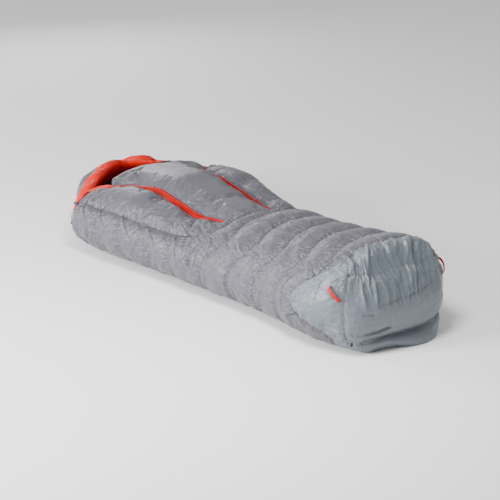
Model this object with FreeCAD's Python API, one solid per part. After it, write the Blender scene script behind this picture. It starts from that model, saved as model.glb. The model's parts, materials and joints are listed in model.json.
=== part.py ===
import FreeCAD, Part
import math
import os

# Mummy sleeping bag, lying closed on its back and lofted, in millimetres.
# +Y points to the head, -Y to the feet, +X to the sleeper's left, +Z up.
# The origin is on the floor under the middle of the bag's length.
#
# Every fabric and filling piece is a panel cut out of one body surface. The surface is a
# row of cross-sections: superelliptic above the widest line, and a quarter ellipse each
# side of a flat strip below it. A place on it is (y, angle): 0 degrees is the left side,
# 90 the top, 180 the right side, and -90 or 270 the edge of the flat strip.

os.makedirs("parts", exist_ok=True)
V = FreeCAD.Vector

# ---- driving dimensions ----
LENGTH = 2080.0                 # foot end to the back of the hood
HALF = LENGTH / 2
TOP_POWER = 2.4                 # superellipse power of the upper section
SIDE_LEVEL = 0.445              # height of the widest line, as a share of the height
FLAT_SHARE = 0.5                # half-width of the flat strip, as a share of the half-width

# share of the length from the foot, half-width, height
SECTIONS = [
    (0.00, 195, 227), (0.04, 269, 405), (0.12, 316, 372), (0.25, 302, 337),
    (0.40, 329, 300), (0.55, 367, 273), (0.595, 384, 287), (0.64, 402, 300),
    (0.68, 420, 312), (0.80, 438, 292), (0.87, 335, 290), (0.92, 262, 278),
    (0.96, 213, 250), (0.985, 160, 200), (1.00, 82, 115),
]

# layers, as depths below the outer surface
SHELL = (0.0, 1.2)
FILL = (2.6, 20.6)
LINING = (21.6, 22.8)
SEAM_GAP = 2.0                  # clear space between neighbouring panels
INNER_CLEAR = 1.2               # further clear space round each filling and lining panel

# chest gills: expansion zips, and the soft tab at each one's foot end
GILL_LINE = [(-60, 132), (17, 137), (85, 152), (190, 155), (290, 157.7), (400, 160.5),
             (460, 168), (549, 190), (606, 240)]
GILL_DEPTH = 8.0                # how far the gill lies in its valley
GILL_SPREAD = 28.0              # width measure of the valley
GILL_HALF = 13.0                # half-width of the red strip
GILL_ZIP = (95.0, 390.0)        # straight run of the coil, as y
GILL_END = 600.0
GILL_LIFT = 0.6                 # tape's clearance above the shell
TAB = (-58.0, 84.0)             # soft end tab, as y
TAB_HALF = 8.5

# seams round the bag
FOOT_SEAM_TOP = -908.0          # footbox seam at the top and the bottom
FOOT_SEAM_PEAK = 178.0          # how far it rises towards the head at the sides
FOOT_SEAM_HEIGHT = 6.0          # angle of that peak above the widest line
FOOT_SEAM_SPAN = 52.0           # angle from the peak to the level part
FOOT_END_SEAM = -1005.0
SIDE_SEAM = 35.0                # angle of the seam between side and top panels
LEG_SEAM = -64.0                # chest panels meet the leg panel here
NECK_SEAM = 660.0               # body meets hood
HOOD_END = 1015.0
# head edge of the chest, as (angle, y): notched where each gill runs out
CHEST_EDGE = [(0, 660), (35, 660), (42, 666), (50, 640), (56, 614), (62, 668), (68, 714),
              (79, 740), (90, 757)]

# face opening: the hood's rim
RIM_HALF = 363.0
RIM_START = 672.0
RIM_BACK = 958.0
RIM_POWER = 1.35
RIM_BAND = 12.0                 # width of the drawcord channel along the rim
RIM_TAIL = 45.0                 # where the channel has run out behind the opening

# side zip on the sleeper's left, straight, as (y, half-width, height) at its two ends
ZIP_FOOT = (-520.0, 300.0, 146.0)
ZIP_HEAD = (540.0, 432.0, 138.0)
ZIP_SLOT_HALF = 7.5             # half of the gap left between the walls behind it
ZIP_LIFT = 1.2                  # tape's clearance above the wall
ZIP_MARGIN = 6.0
ZIP_REST = 9.0                  # closed slider's middle to the end of the coil

# zip sizes: coil and tape widths are of one half, gap lies between the two halves
ZIP_KIND = {"coil": 3.2, "coil_high": 2.6, "gap": 2.2, "tape": 0.9, "tape_half": 17.0,
            "slider": 15.0, "puller": 30.0, "pull_half": 4.0}
GILL_KIND = {"coil": 2.2, "coil_high": 2.0, "gap": 1.8, "tape": 0.7, "tape_half": 12.5,
             "slider": 11.0, "puller": 24.0, "pull_half": 3.2}
GILL_REST = 7.0
STRIP_CLEAR = 1.3               # clearance under the tape where it curves
FLANGE = 1.0
PLATE = 1.2
CROWN_REACH = 4.0               # half-length of the loop that holds the puller
CROWN_HOLE = 2.1

# draft tube and draft collar, inside
TUBE_RADIUS = 17.0
TUBE_LEVEL = -46.0              # its middle, inward of the zip's coil
COLLAR = (560.0, 604.0)
COLLAR_DEPTH = (29.0, 62.0)
COLLAR_GAP = 44.0

# small pieces
CHANNEL = (-1.0, 23.6)          # depths of the hood's rim channel
CHANNEL_GAP = 3.8               # clear of the hood's sides, across the bag
INSET = (0.5, 1.0)
TAB_LAYER = (-2.2, -0.4)
PATCH = ((62.0, 690.0), 62.0, 34.0)
PATCH_LAYER = (-1.0, -0.2)
LOOP_HEAD = (-926.0, 25.0)      # foot loop's two ends, as (y, angle)
LOOP_FOOT = (-976.0, 15.0)
LOOP_CLEAR = 2.8
LOOP_STAND = 13.0
TAG = (-1001.0, 218.0)
TAG_CLEAR = 4.5

# hood drawcord's free end, a list of places, and the lock on one of its runs
CORD_RADIUS = 1.4
CORD_ROUTE = [(-372, 668, 232), (-393, 666, 223), (-412, 662, 200), (-431, 655, 180),
              (-440, 649, 161), (-444, 645, 140)]
LOCK_RUN = 1
LOCK_OUT = V(0.1, -1.0, 0.0)
LOCK_RADIUS = 6.5
LOCK_BORE = 4.6
LOCK_TRAVEL = 3.0


# ---- curves ----
def smooth(knots):
    """A monotone cubic through (position, value) knots, as a function."""
    xs = [k[0] for k in knots]
    vs = [k[1] for k in knots]
    rise = [(vs[i + 1] - vs[i]) / (xs[i + 1] - xs[i]) for i in range(len(xs) - 1)]
    slope = [rise[0]]
    for i in range(1, len(rise)):
        a, b = rise[i - 1], rise[i]
        slope.append(0.0 if a * b <= 0 else 2 * a * b / (a + b))
    slope.append(rise[-1])

    def value(x):
        x = min(max(x, xs[0]), xs[-1])
        i = 0
        while i < len(xs) - 2 and x > xs[i + 1]:
            i += 1
        step = xs[i + 1] - xs[i]
        t = (x - xs[i]) / step
        return (vs[i] * (1 + 2 * t) * (1 - t) ** 2 + slope[i] * step * t * (1 - t) ** 2
                + vs[i + 1] * t * t * (3 - 2 * t) + slope[i + 1] * step * t * t * (t - 1))
    return value


half_width = smooth([(share * LENGTH - HALF, wide) for share, wide, high in SECTIONS])
height = smooth([(share * LENGTH - HALF, high) for share, wide, high in SECTIONS])
gill_x = smooth(GILL_LINE)


def ease(t):
    """0 to 1 with level ends."""
    t = min(max(t, 0.0), 1.0)
    return t * t * (3 - 2 * t)


def fold(angle):
    """The angle's mirror image on the right half of the section, -90 to 90."""
    return 180 - angle if angle > 90 else angle


# ---- the body surface ----
def zip_line(y):
    """(x, z) of the side zip's line at y."""
    t = (y - ZIP_FOOT[0]) / (ZIP_HEAD[0] - ZIP_FOOT[0])
    return (ZIP_FOOT[1] + t * (ZIP_HEAD[1] - ZIP_FOOT[1]),
            ZIP_FOOT[2] + t * (ZIP_HEAD[2] - ZIP_FOOT[2]))


def zip_pull(y, angle):
    """How far the straight side zip draws the left wall out or in at a place."""
    if abs(angle) > 60:
        return 0.0
    ends = ease((y - ZIP_FOOT[0] + 160) / 160) * ease((ZIP_HEAD[0] + 90 - y) / 90)
    return (zip_line(y)[0] - half_width(y)) * ends * (1 - ease(abs(angle) / 60))


def outside(y, angle):
    """(x, z) on the outer surface."""
    wide, high = half_width(y), height(y)
    turn = math.radians(angle)
    c, s = math.cos(turn), math.sin(turn)
    level = SIDE_LEVEL * high
    if -1e-9 <= angle <= 180 + 1e-9:
        reach = (abs(c) ** TOP_POWER + abs(s) ** TOP_POWER) ** (-1 / TOP_POWER)
        x, z = wide * reach * c, level + (high - level) * reach * s
        ends = ease((y - TAB[0] + 60) / 100) * ease((GILL_END + 60 - y) / 100)
        off = (abs(x) - gill_x(y)) / GILL_SPREAD
        z -= GILL_DEPTH * ends * math.exp(-off * off) * max(s, 0.0)
    else:
        side = 1 if c >= 0 else -1
        x = side * FLAT_SHARE * wide + (1 - FLAT_SHARE) * wide * c
        z = level * (1 + s)
    return x + zip_pull(y, angle), z


def place(y, angle, depth):
    """The point at a depth below the outer surface, measured square to the section."""
    step = 0.4
    x0, z0 = outside(y, angle - step)
    x1, z1 = outside(y, angle + step)
    if angle - step < -90:
        x0, z0 = outside(y, -90)[0] - 1.0, 0.0
    if angle + step > 270:
        x1, z1 = outside(y, 270)[0] + 1.0, 0.0
    span = math.hypot(x1 - x0, z1 - z0)
    x, z = outside(y, angle)
    return V(x - depth * (z1 - z0) / span, y, z + depth * (x1 - x0) / span)


def angle_at(y, x):
    """The angle of the upper surface's place at x."""
    share = min(max(x / half_width(y), -1.0), 1.0)
    return math.degrees(math.atan2((1 - abs(share) ** TOP_POWER) ** (1 / TOP_POWER), share))


# ---- seams, as functions ----
def foot_seam(angle):
    """y of the footbox seam: level over the top, rising to a peak at each side."""
    off = abs(fold(angle) - FOOT_SEAM_HEIGHT) / FOOT_SEAM_SPAN
    return FOOT_SEAM_TOP + FOOT_SEAM_PEAK * (1 - ease(off))


chest_curve = smooth(CHEST_EDGE)


def chest_edge(angle):
    """y of the chest panels' head edge."""
    return chest_curve(fold(angle))


def rim_x(y):
    t = (y - RIM_START) / (RIM_BACK - RIM_START)
    return RIM_HALF * (1 - min(max(t, 0.0), 1.0) ** RIM_POWER)


def rim_band(y):
    """Width of the drawcord channel along the rim, running out behind the opening."""
    return RIM_BAND * (1 - ease((y - RIM_BACK) / RIM_TAIL))


# ---- solids ----
def sharpened(points):
    """Poles whose cubic spline passes close to the points: each is moved out a little."""
    middle = [(points[i] * 8 - points[i - 1] - points[i + 1]) * (1 / 6)
              for i in range(2, len(points) - 2)]
    return points[:2] + middle + points[-2:]


def spline_knots(count, degree):
    """Multiplicities and knots of a clamped even spline with a number of poles."""
    spans = count - degree
    return [degree + 1] + [1] * (spans - 1) + [degree + 1], [float(k) for k in range(spans + 1)]


def spline_surface(function, rows, columns):
    """A smooth surface through an even grid of function(u, v), with no overshoot."""
    grid = [sharpened([function(i / rows, j / columns) for j in range(columns + 1)])
            for i in range(rows + 1)]
    across = [sharpened([row[j] for row in grid]) for j in range(columns + 1)]
    poles = [[across[j][i] for j in range(columns + 1)] for i in range(rows + 1)]
    u_degree, v_degree = min(3, rows), min(3, columns)
    u_mults, u_knots = spline_knots(rows + 1, u_degree)
    v_mults, v_knots = spline_knots(columns + 1, v_degree)
    result = Part.BSplineSurface()
    result.buildFromPolesMultsKnots(poles, u_mults, v_mults, u_knots, v_knots,
                                    False, False, u_degree, v_degree)
    return result


def patch(outer, inner, rows, columns):
    """A closed solid between two point functions of (u, v), each from 0 to 1."""
    top, under = (spline_surface(function, rows, columns) for function in (outer, inner))
    faces = [top.toShape(), under.toShape()]
    u0, u1, v0, v1 = top.bounds()
    p0, p1, q0, q1 = under.bounds()
    rails = [(top.uIso(u0), under.uIso(p0)), (top.uIso(u1), under.uIso(p1)),
             (top.vIso(v0), under.vIso(q0)), (top.vIso(v1), under.vIso(q1))]
    for upper_rail, lower_rail in rails:
        faces.append(Part.makeRuledSurface(upper_rail.toShape(), lower_rail.toShape()))
    shell = Part.Shell(faces)
    shell.sewShape()
    solid = Part.Solid(shell)
    if solid.Volume < 0:
        solid.reverse()
    return solid


def panel(layer, y_low, y_high, angle_low, angle_high, rows=18, columns=14):
    """One layer of the bag between two y edges (functions of the angle) and two side
    edges (functions of y). Half a seam gap is left clear on the y edges."""
    clear = INNER_CLEAR if layer in (FILL, LINING) else 0.0

    def place_at(u, v, depth):
        y = 0.5 * (y_low(90) + y_high(90))
        for _ in range(30):
            inset = math.degrees(clear / (0.55 * height(y)))
            first, last = angle_low(y) + inset, angle_high(y) - inset
            angle = first + v * (last - first)
            low = y_low(angle) + SEAM_GAP / 2 + clear
            high = y_high(angle) - SEAM_GAP / 2 - clear
            y = 0.5 * (y + low + u * (high - low))
        return place(y, angle, depth)

    return patch(lambda u, v: place_at(u, v, layer[0]), lambda u, v: place_at(u, v, layer[1]),
                 rows, columns)


def side_edge(angle, side):
    """An angle moved half a seam gap along the surface, as a function of y."""
    def edge(y):
        return angle + side * math.degrees(SEAM_GAP / 2 / (0.55 * height(y)))
    return edge


def at(value):
    return lambda ignored: value


def strip_outline(y_low, y_high, level, clear):
    """The flat strip's outline between two y values, as a face at a level."""
    count = 22
    stations = [y_low + (y_high - y_low) * i / count for i in range(count + 1)]
    sides = []
    for sign in (1, -1):
        points = [V(sign * (FLAT_SHARE * half_width(y) - SEAM_GAP - clear), y, level)
                  for y in stations]
        curve = Part.BSplineCurve()
        curve.interpolate(points)
        sides.append(curve.toShape())
    ends = [Part.makeLine(sides[0].valueAt(sides[0].FirstParameter),
                          sides[1].valueAt(sides[1].FirstParameter)),
            Part.makeLine(sides[0].valueAt(sides[0].LastParameter),
                          sides[1].valueAt(sides[1].LastParameter))]
    return Part.Face(Part.Wire(Part.__sortEdges__(sides + ends)))


def base(layer, y_low, y_high):
    """One layer of the flat underside."""
    clear = 0.0 if layer == SHELL else INNER_CLEAR
    face = strip_outline(y_low + SEAM_GAP / 2 + clear, y_high - SEAM_GAP / 2 - clear,
                         layer[0], clear)
    return face.extrude(V(0, 0, layer[1] - layer[0]))


def ring(y, depth):
    """A closed section wire at a depth, flat strip included."""
    count = 44
    points = []
    for i in range(count + 1):
        spot = place(y, -90 + 360 * i / count, depth)
        points.append(V(spot.x, y, spot.z))
    curve = Part.BSplineCurve()
    curve.interpolate(points)
    return Part.Wire([curve.toShape(), Part.makeLine(points[-1], points[0])])


def cap(layer, stations, outward):
    """A domed end piece: one layer over the end of the body, closing it."""
    face_y = stations[-1]
    outer = Part.makeLoft([ring(y, layer[0]) for y in stations], True)
    inner = Part.makeLoft([ring(y, layer[1]) for y in stations], True)
    keep = layer[1] - layer[0]
    block = Part.makeBox(1200, 400, 900, V(-600, 0, -200))
    start = face_y + layer[0] * -outward - (0 if outward < 0 else 400)
    trim = block.copy()
    trim.translate(V(0, start, 0))
    outer = outer.common(trim)
    block.translate(V(0, start - outward * keep, 0))
    return outer.cut(inner.common(block))


NODES = {}


def save(name, solids):
    """Adds a solid or a list of separate solids to a sub-part."""
    NODES.setdefault(name, []).extend(solids if isinstance(solids, list) else [solids])


def export():
    """Writes every sub-part, as one solid or a group of separate solids."""
    for name, solids in NODES.items():
        shape = solids[0] if len(solids) == 1 else Part.makeCompound(solids)
        print(name, len(solids), shape.isValid(), round(shape.Volume / 1000, 1), "cm3")
        shape.exportStep("parts/" + name + ".step")


def box(low, high):
    """A box between two corners."""
    return Part.makeBox(high[0] - low[0], high[1] - low[1], high[2] - low[2], V(*low))


def seat(solids, origin, along, out):
    """Moves solids drawn with x along, z out, to an origin with those directions."""
    along = V(along).normalize()
    out = V(out)
    out = (out - along * out.dot(along)).normalize()
    across = out.cross(along)
    frame = FreeCAD.Matrix(along.x, across.x, out.x, origin.x,
                           along.y, across.y, out.y, origin.y,
                           along.z, across.z, out.z, origin.z,
                           0, 0, 0, 1)
    return [solid.transformGeometry(frame) for solid in solids]


# ---- shell, filling and lining ----
LAYERS = {"shell": SHELL, "fill": FILL, "lining": LINING}


def layer_node(name, place_name, lining_name):
    """A panel's node: shell and filling panels have their own, linings are grouped."""
    if name == "lining":
        return lining_name + "_lining"
    node = place_name.replace("*", name)
    return "footbox_fill" if node == "footbox_base_fill" else node


def gill_edge(side, shift):
    """Angle of the line beside a gill's middle; side 1 is the left gill."""
    return lambda y: angle_at(y, side * (gill_x(y) + shift))


def mirrored(edge):
    return lambda y: 180 - edge(y)


def chest_and_legs():
    """Chest panel between the gills, the chest lobes outside them, and the leg panel."""
    beside = GILL_HALF + SEAM_GAP
    save("chest_shell", panel(SHELL, at(LEG_SEAM), chest_edge, gill_edge(1, -beside),
                              gill_edge(-1, -beside), 26, 24))
    lobe = (gill_edge(1, beside), side_edge(SIDE_SEAM, 1))
    save("chest_lobe_shell_left",
         panel(SHELL, at(LEG_SEAM), chest_edge, lobe[1], lobe[0], 26, 12))
    save("chest_lobe_shell_right",
         panel(SHELL, at(LEG_SEAM), chest_edge, mirrored(lobe[0]), mirrored(lobe[1]), 26, 12))
    side = (side_edge(SIDE_SEAM, 1), side_edge(180 - SIDE_SEAM, -1))
    for name, layer in LAYERS.items():
        if layer != SHELL:
            save(layer_node(name, "chest_*", "top"),
                 panel(layer, at(LEG_SEAM), chest_edge, *side, 26, 60))
        save(layer_node(name, "leg_*", "top"), panel(layer, foot_seam, at(LEG_SEAM), *side, 20, 26))


def zip_edge(side):
    """Angle of the left wall's edge beside the zip, opened along the zip's length only."""
    def edge(y):
        run = ease((y - ZIP_FOOT[0] + 30) / 30) * ease((ZIP_HEAD[0] + 30 - y) / 30)
        level = zip_line(y)[1] + side * (SEAM_GAP / 2 + run * ZIP_SLOT_HALF)
        middle = SIDE_LEVEL * height(y)
        if level > middle:
            share = (level - middle) / (height(y) - middle)
            return math.degrees(math.atan2(share, (1 - share ** TOP_POWER) ** (1 / TOP_POWER)))
        return -math.degrees(math.asin((middle - level) / middle))
    return edge


def side_walls():
    """Each side wall below the side seam. The left one is split by the side zip."""
    right = (side_edge(180 - SIDE_SEAM, 1), at(270))
    upper = (zip_edge(1), side_edge(SIDE_SEAM, -1))
    lower = (at(-90), zip_edge(-1))
    for name, layer in LAYERS.items():
        for place_name, edges, rows, columns in (("side_*_right", right, 22, 16),
                                                 ("side_*_left_upper", upper, 40, 8),
                                                 ("side_*_left_lower", lower, 40, 10)):
            save(layer_node(name, place_name, "side"),
                 panel(layer, foot_seam, at(NECK_SEAM), *edges, rows, columns))


def underside():
    """The flat bottom in footbox, body and hood lengths."""
    foot = foot_seam(-90)
    lengths = ((foot, NECK_SEAM, "bottom_*", "bottom"), (NECK_SEAM, HOOD_END, "bottom_*", "hood"),
               (FOOT_END_SEAM, foot, "footbox_base_*", "footbox"))
    for name, layer in LAYERS.items():
        for low, high, place_name, lining_name in lengths:
            save(layer_node(name, place_name, lining_name), base(layer, low, high))


def footbox():
    """The footbox round its top and sides, and its domed end panel."""
    stations = [FOOT_END_SEAM - SEAM_GAP, -1022.0, -1034.0, -HALF]
    for name, layer in LAYERS.items():
        save(layer_node(name, "footbox_*", "footbox"),
             panel(layer, at(FOOT_END_SEAM), foot_seam, at(-90), at(270), 10, 72))
        save(layer_node(name, "foot_end_*", "footbox"), cap(layer, stations, -1))


def hood():
    """Hood sides up to the rim channel, the rim channel, and the domed back."""
    stations = [HOOD_END + SEAM_GAP, 1026.0, 1034.0, HALF]

    def top_edge(y):
        return angle_at(y, rim_x(y) + max(rim_band(y), SEAM_GAP / 2))

    def channel_edge(y):
        return angle_at(y, rim_x(y) + rim_band(y) - CHANNEL_GAP)

    def opening_edge(y):
        return angle_at(y, rim_x(y) + SEAM_GAP / 2)

    length = (at(NECK_SEAM), at(HOOD_END))
    for name, layer in LAYERS.items():
        save(layer_node(name, "hood_*_left", "hood"),
             panel(layer, *length, at(-90), top_edge, 30, 14))
        save(layer_node(name, "hood_*_right", "hood"),
             panel(layer, *length, mirrored(top_edge), at(270), 30, 14))
        save(layer_node(name, "hood_back_*", "hood"), cap(layer, stations, 1))
    ends = (at(NECK_SEAM + 6), at(RIM_BACK + RIM_BAND))
    save("hood_rim_channel",
         [panel(CHANNEL, *ends, channel_edge, opening_edge, 26, 4),
          panel(CHANNEL, *ends, mirrored(opening_edge), mirrored(channel_edge), 26, 4)])


# ---- zips ----
def tape_and_coil(run, kind):
    """Two tape halves and two coil halves along x, centred, coil standing on z = 0."""
    tapes, coils = [], []
    for side in (1, -1):
        inner, outer = kind["gap"] / 2, kind["tape_half"]
        low, high = sorted((side * inner, side * outer))
        tapes.append(box((-run / 2, low, -kind["tape"]), (run / 2, high, -0.05)))
        low, high = sorted((side * inner, side * (inner + kind["coil"])))
        coils.append(box((-run / 2, low, 0), (run / 2, high, kind["coil_high"])))
    return tapes, coils


def zip_stops(run, kind):
    """A crimped stop just past each end of the coil."""
    half = kind["gap"] / 2 + kind["coil"]
    stops = []
    for side in (1, -1):
        low, high = sorted((side * (run / 2 + 0.5), side * (run / 2 + 4.5)))
        stops.append(box((low, -half, 0), (high, half, kind["coil_high"])))
    return stops


def slider(kind):
    """A zip slider: plates above the coil and below the tape, neck, flanges and crown."""
    long, gap, high = kind["slider"], kind["gap"], kind["coil_high"]
    half = gap / 2 + kind["coil"] + 0.3 + FLANGE
    top, under = high + 0.3, -kind["tape"] - 0.3
    body = box((-long / 2, -half, top), (long / 2, half, top + PLATE))
    pieces = [box((-long / 2, -half, under - 1.0), (long / 2, half, under)),
              box((-long / 2 + 1, -gap / 2 + 0.3, under - 1.0),
                  (long / 2 - 2, gap / 2 - 0.3, top + PLATE))]
    for side in (1, -1):
        low, high_y = sorted((side * (half - FLANGE), side * half))
        pieces.append(box((-long / 2, low, 0.3), (long / 2, high_y, top + PLATE)))
        low, high_x = sorted((side * CROWN_REACH, side * (CROWN_REACH - 1.3)))
        pieces.append(box((low, -1, top), (high_x, 1, top + PLATE + CROWN_HOLE + 1.1)))
    pieces.append(box((-CROWN_REACH, -1, top + PLATE + CROWN_HOLE),
                      (CROWN_REACH, 1, top + PLATE + CROWN_HOLE + 1.1)))
    return body.multiFuse(pieces).removeSplitter()


def pin_level(kind):
    """Height of the puller's pin above the coil's foot."""
    return kind["coil_high"] + 0.3 + PLATE + CROWN_HOLE / 2


def puller(kind):
    """A zip puller lying towards -x: pin under the crown, two arms and a holed tab."""
    level, thick, inner = pin_level(kind), 1.3, 1.35
    outer = inner + thick
    pin = Part.makeCylinder(thick / 2, 2 * outer, V(0, -outer, level), V(0, 1, 0))
    pieces = []
    reach = -CROWN_REACH - 2.2
    for side in (1, -1):
        low, high = sorted((side * inner, side * outer))
        pieces.append(box((reach - 1, low, level - thick / 2), (0.65, high, level + thick / 2)))
    tab_end = reach - kind["puller"]
    pieces.append(box((tab_end, -kind["pull_half"], level - thick / 2),
                      (reach, kind["pull_half"], level + thick / 2)))
    pieces.append(Part.makeCylinder(kind["pull_half"], thick, V(tab_end, 0, level - thick / 2)))
    body = pin.multiFuse(pieces)
    eye = Part.makeCylinder(kind["pull_half"] * 0.5, 4, V(tab_end, 0, level - 2))
    return body.cut(eye).removeSplitter()


def straight_frame(start, end, out, lift):
    """Middle point, direction and outward direction of a straight zip."""
    along = (end - start).normalize()
    out = (out - along * out.dot(along)).normalize()
    return (start + end) * 0.5 + out * lift, along, out


def facing(y, angle):
    """The outward direction square to the section."""
    return (place(y, angle, 0) - place(y, angle, 10)).normalize()


def gill_frame(side):
    """The frame of one gill's straight zip, just clear of the shell below it."""
    ends = [place(y, angle_at(y, side * gill_x(y)), 0) for y in GILL_ZIP]
    middle = 0.5 * (GILL_ZIP[0] + GILL_ZIP[1])
    out = facing(middle, angle_at(middle, side * gill_x(middle)))
    along = (ends[1] - ends[0]).normalize()
    out = (out - along * out.dot(along)).normalize()
    rise = 0.0
    for i in range(31):
        y = GILL_ZIP[0] + (GILL_ZIP[1] - GILL_ZIP[0]) * i / 30
        for shift in (-GILL_HALF + 1, 0, GILL_HALF - 1):
            spot = place(y, angle_at(y, side * (gill_x(y) + shift)), 0)
            rise = max(rise, (spot - ends[0]).dot(out))
    return straight_frame(ends[0], ends[1], out, rise + GILL_LIFT + GILL_KIND["tape"])


def gill(side, hand):
    """One expansion gill: red inset, tape, coil, stops, slider, puller and end tab."""
    origin, along, out = gill_frame(side)
    run = GILL_ZIP[1] - GILL_ZIP[0]
    tapes, coils = tape_and_coil(run, GILL_KIND)
    tapes, coils = seat(tapes, origin, along, out), seat(coils, origin, along, out)
    upper = (at(GILL_ZIP[1] + 6), at(GILL_END))

    def strip(low, high, depths):
        edges = (gill_edge(1, high), gill_edge(1, low))
        if side < 0:
            edges = (mirrored(edges[1]), mirrored(edges[0]))
        return panel(depths, *upper, *edges, 14, 3)

    gap, tape = GILL_KIND["gap"] / 2, GILL_KIND["tape"]
    for low, high in ((gap, GILL_HALF), (-GILL_HALF, -gap)):
        tapes.append(strip(low, high, (-STRIP_CLEAR - tape, -STRIP_CLEAR)))
    for low, high in ((gap, gap + GILL_KIND["coil"]), (-gap - GILL_KIND["coil"], -gap)):
        foot = -STRIP_CLEAR - tape - 0.1
        coils.append(strip(low, high, (foot - GILL_KIND["coil_high"], foot)))
    edges = (gill_edge(1, GILL_HALF - 0.5), gill_edge(1, 0.5 - GILL_HALF))
    tab = (gill_edge(1, TAB_HALF), gill_edge(1, -TAB_HALF))
    if side < 0:
        edges = (mirrored(edges[1]), mirrored(edges[0]))
        tab = (mirrored(tab[1]), mirrored(tab[0]))
    save("gill_insets", panel(INSET, at(TAB[0]), at(GILL_END), *edges, 30, 4))
    save("gill_tabs", panel(TAB_LAYER, at(TAB[0]), at(TAB[1]), *tab, 12, 3))
    save("gill_tape_" + hand, tapes)
    save("gill_coil_" + hand, coils + seat(zip_stops(run, GILL_KIND)[1:], origin, along, out))
    rest = origin - along * (run / 2 - GILL_REST)
    save("gill_slider_" + hand, seat([slider(GILL_KIND)], rest, along, out))
    save("gill_puller_" + hand, seat([puller(GILL_KIND)], rest, along, out))
    tell_joint("gill_" + hand, rest, along, out, GILL_KIND)


def side_zip():
    """The two-way side zip: tapes, coils, stops, two sliders and their pullers."""
    start = V(ZIP_FOOT[1], ZIP_FOOT[0], ZIP_FOOT[2])
    end = V(ZIP_HEAD[1], ZIP_HEAD[0], ZIP_HEAD[2])
    origin, along, out = straight_frame(start, end, V(1, 0, 0), ZIP_LIFT + ZIP_KIND["tape"])
    run = (end - start).Length - 2 * ZIP_MARGIN
    tapes, coils = tape_and_coil(run, ZIP_KIND)
    save("zip_tape", seat(tapes, origin, along, out))
    save("zip_coil", seat(coils, origin, along, out))
    save("zip_stops", seat(zip_stops(run, ZIP_KIND), origin, along, out))
    for name, sign in (("top", 1), ("bottom", -1)):
        rest = origin + along * (sign * (run / 2 - ZIP_REST))
        towards = along * sign
        save("zip_slider_" + name, seat([slider(ZIP_KIND)], rest, towards, out))
        save("zip_puller_" + name, seat([puller(ZIP_KIND)], rest, towards, out))
        tell_joint("zip_" + name, rest, towards, out, ZIP_KIND)
    tube = Part.makeCylinder(TUBE_RADIUS, run - 20, V(-run / 2 + 10, 0, TUBE_LEVEL), V(1, 0, 0))
    save("draft_tube", seat([tube], origin, along, out))


def tell_joint(name, rest, along, out, kind):
    """Prints a slider's direction and its puller's hinge, in metres."""
    hinge = rest + out * pin_level(kind)
    across = out.cross(along)
    print(name, "slide", [round(c, 6) for c in along], "hinge at",
          [round(c / 1000, 6) for c in hinge], "axis", [round(c, 6) for c in across])


# ---- collar, labels, loops ----
def draft_collar():
    """The padded collar round the shoulders, open beside the zip."""
    reach = V(0, COLLAR[1] - COLLAR[0], 0)
    outer, inner = (Part.Face(ring(COLLAR[0], depth)).extrude(reach) for depth in COLLAR_DEPTH)
    body = outer.cut(inner)
    y, wide = COLLAR[0], half_width(COLLAR[0])
    opening = box((wide - 110, y - 5, ZIP_HEAD[2] - COLLAR_GAP / 2),
                  (wide, COLLAR[1] + 5, ZIP_HEAD[2] + COLLAR_GAP / 2))
    save("draft_collar", body.cut(opening))


def chest_patch():
    """A plain stitched patch on the chest."""
    middle, wide, high = PATCH
    edges = (lambda y: angle_at(y, middle[0] + wide / 2),
             lambda y: angle_at(y, middle[0] - wide / 2))
    save("chest_patch", panel(PATCH_LAYER, at(middle[1] - high / 2), at(middle[1] + high / 2),
                              *edges, 4, 5))


def strap(start, end, out, wide, thick, stand):
    """A webbing loop: a flat strap bowed off the surface between two feet."""
    reach = (end - start).Length
    along = (end - start).normalize()
    heel = 6.0
    path = [V(-heel, 0, 0), V(0, 0, 0), V(reach * 0.22, 0, stand), V(reach * 0.78, 0, stand),
            V(reach, 0, 0), V(reach + heel, 0, 0)]
    above = [p + V(0, 0, thick) for p in path]
    outline = Part.makePolygon(path + above[::-1] + [path[0]])
    body = Part.Face(outline).extrude(V(0, wide, 0))
    body.translate(V(0, -wide / 2, 0))
    return seat([body], start, along, out)


def foot_loops():
    """A hang loop on each side of the footbox and a small tag at its bottom corner."""
    for side, hand in ((1, "left"), (-1, "right")):
        ends = []
        for y, angle in (LOOP_HEAD, LOOP_FOOT):
            angle = angle if side > 0 else 180 - angle
            ends.append(place(y, angle, -LOOP_CLEAR))
        angle = 0.5 * (LOOP_HEAD[1] + LOOP_FOOT[1])
        out = facing(0.5 * (LOOP_HEAD[0] + LOOP_FOOT[0]), angle if side > 0 else 180 - angle)
        save("foot_loop_" + hand, strap(ends[0], ends[1], out, 16, 1.6, LOOP_STAND))
    y, angle = TAG
    spot = place(y, angle, -TAG_CLEAR)
    save("foot_tag", seat([box((-8, -0.7, 0), (8, 0.7, 12))], spot, V(0, 0, -1), facing(y, angle)))


# ---- hood drawcord ----
def tube_path(points):
    """Straight runs through points, joined by tangent arcs; prints the arcs' radii."""
    edges, here = [], points[0]
    for i in range(1, len(points) - 1):
        before, after = points[i] - points[i - 1], points[i + 1] - points[i]
        shorter = min(before.Length, after.Length)
        one, two = V(before).normalize(), V(after).normalize()
        turn = one.getAngle(two)
        cut = 0.45 * shorter
        radius = cut / math.tan(turn / 2)
        entry, leave = points[i] - one * cut, points[i] + two * cut
        bisect = (two - one).normalize()
        centre = points[i] + bisect * (radius / math.cos(turn / 2))
        middle = centre - bisect * radius
        edges.append(Part.makeLine(here, entry))
        edges.append(Part.Arc(entry, middle, leave).toShape())
        here = leave
        print("cord arc radius", round(radius, 1))
    edges.append(Part.makeLine(here, points[-1]))
    return Part.Wire(edges)


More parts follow.
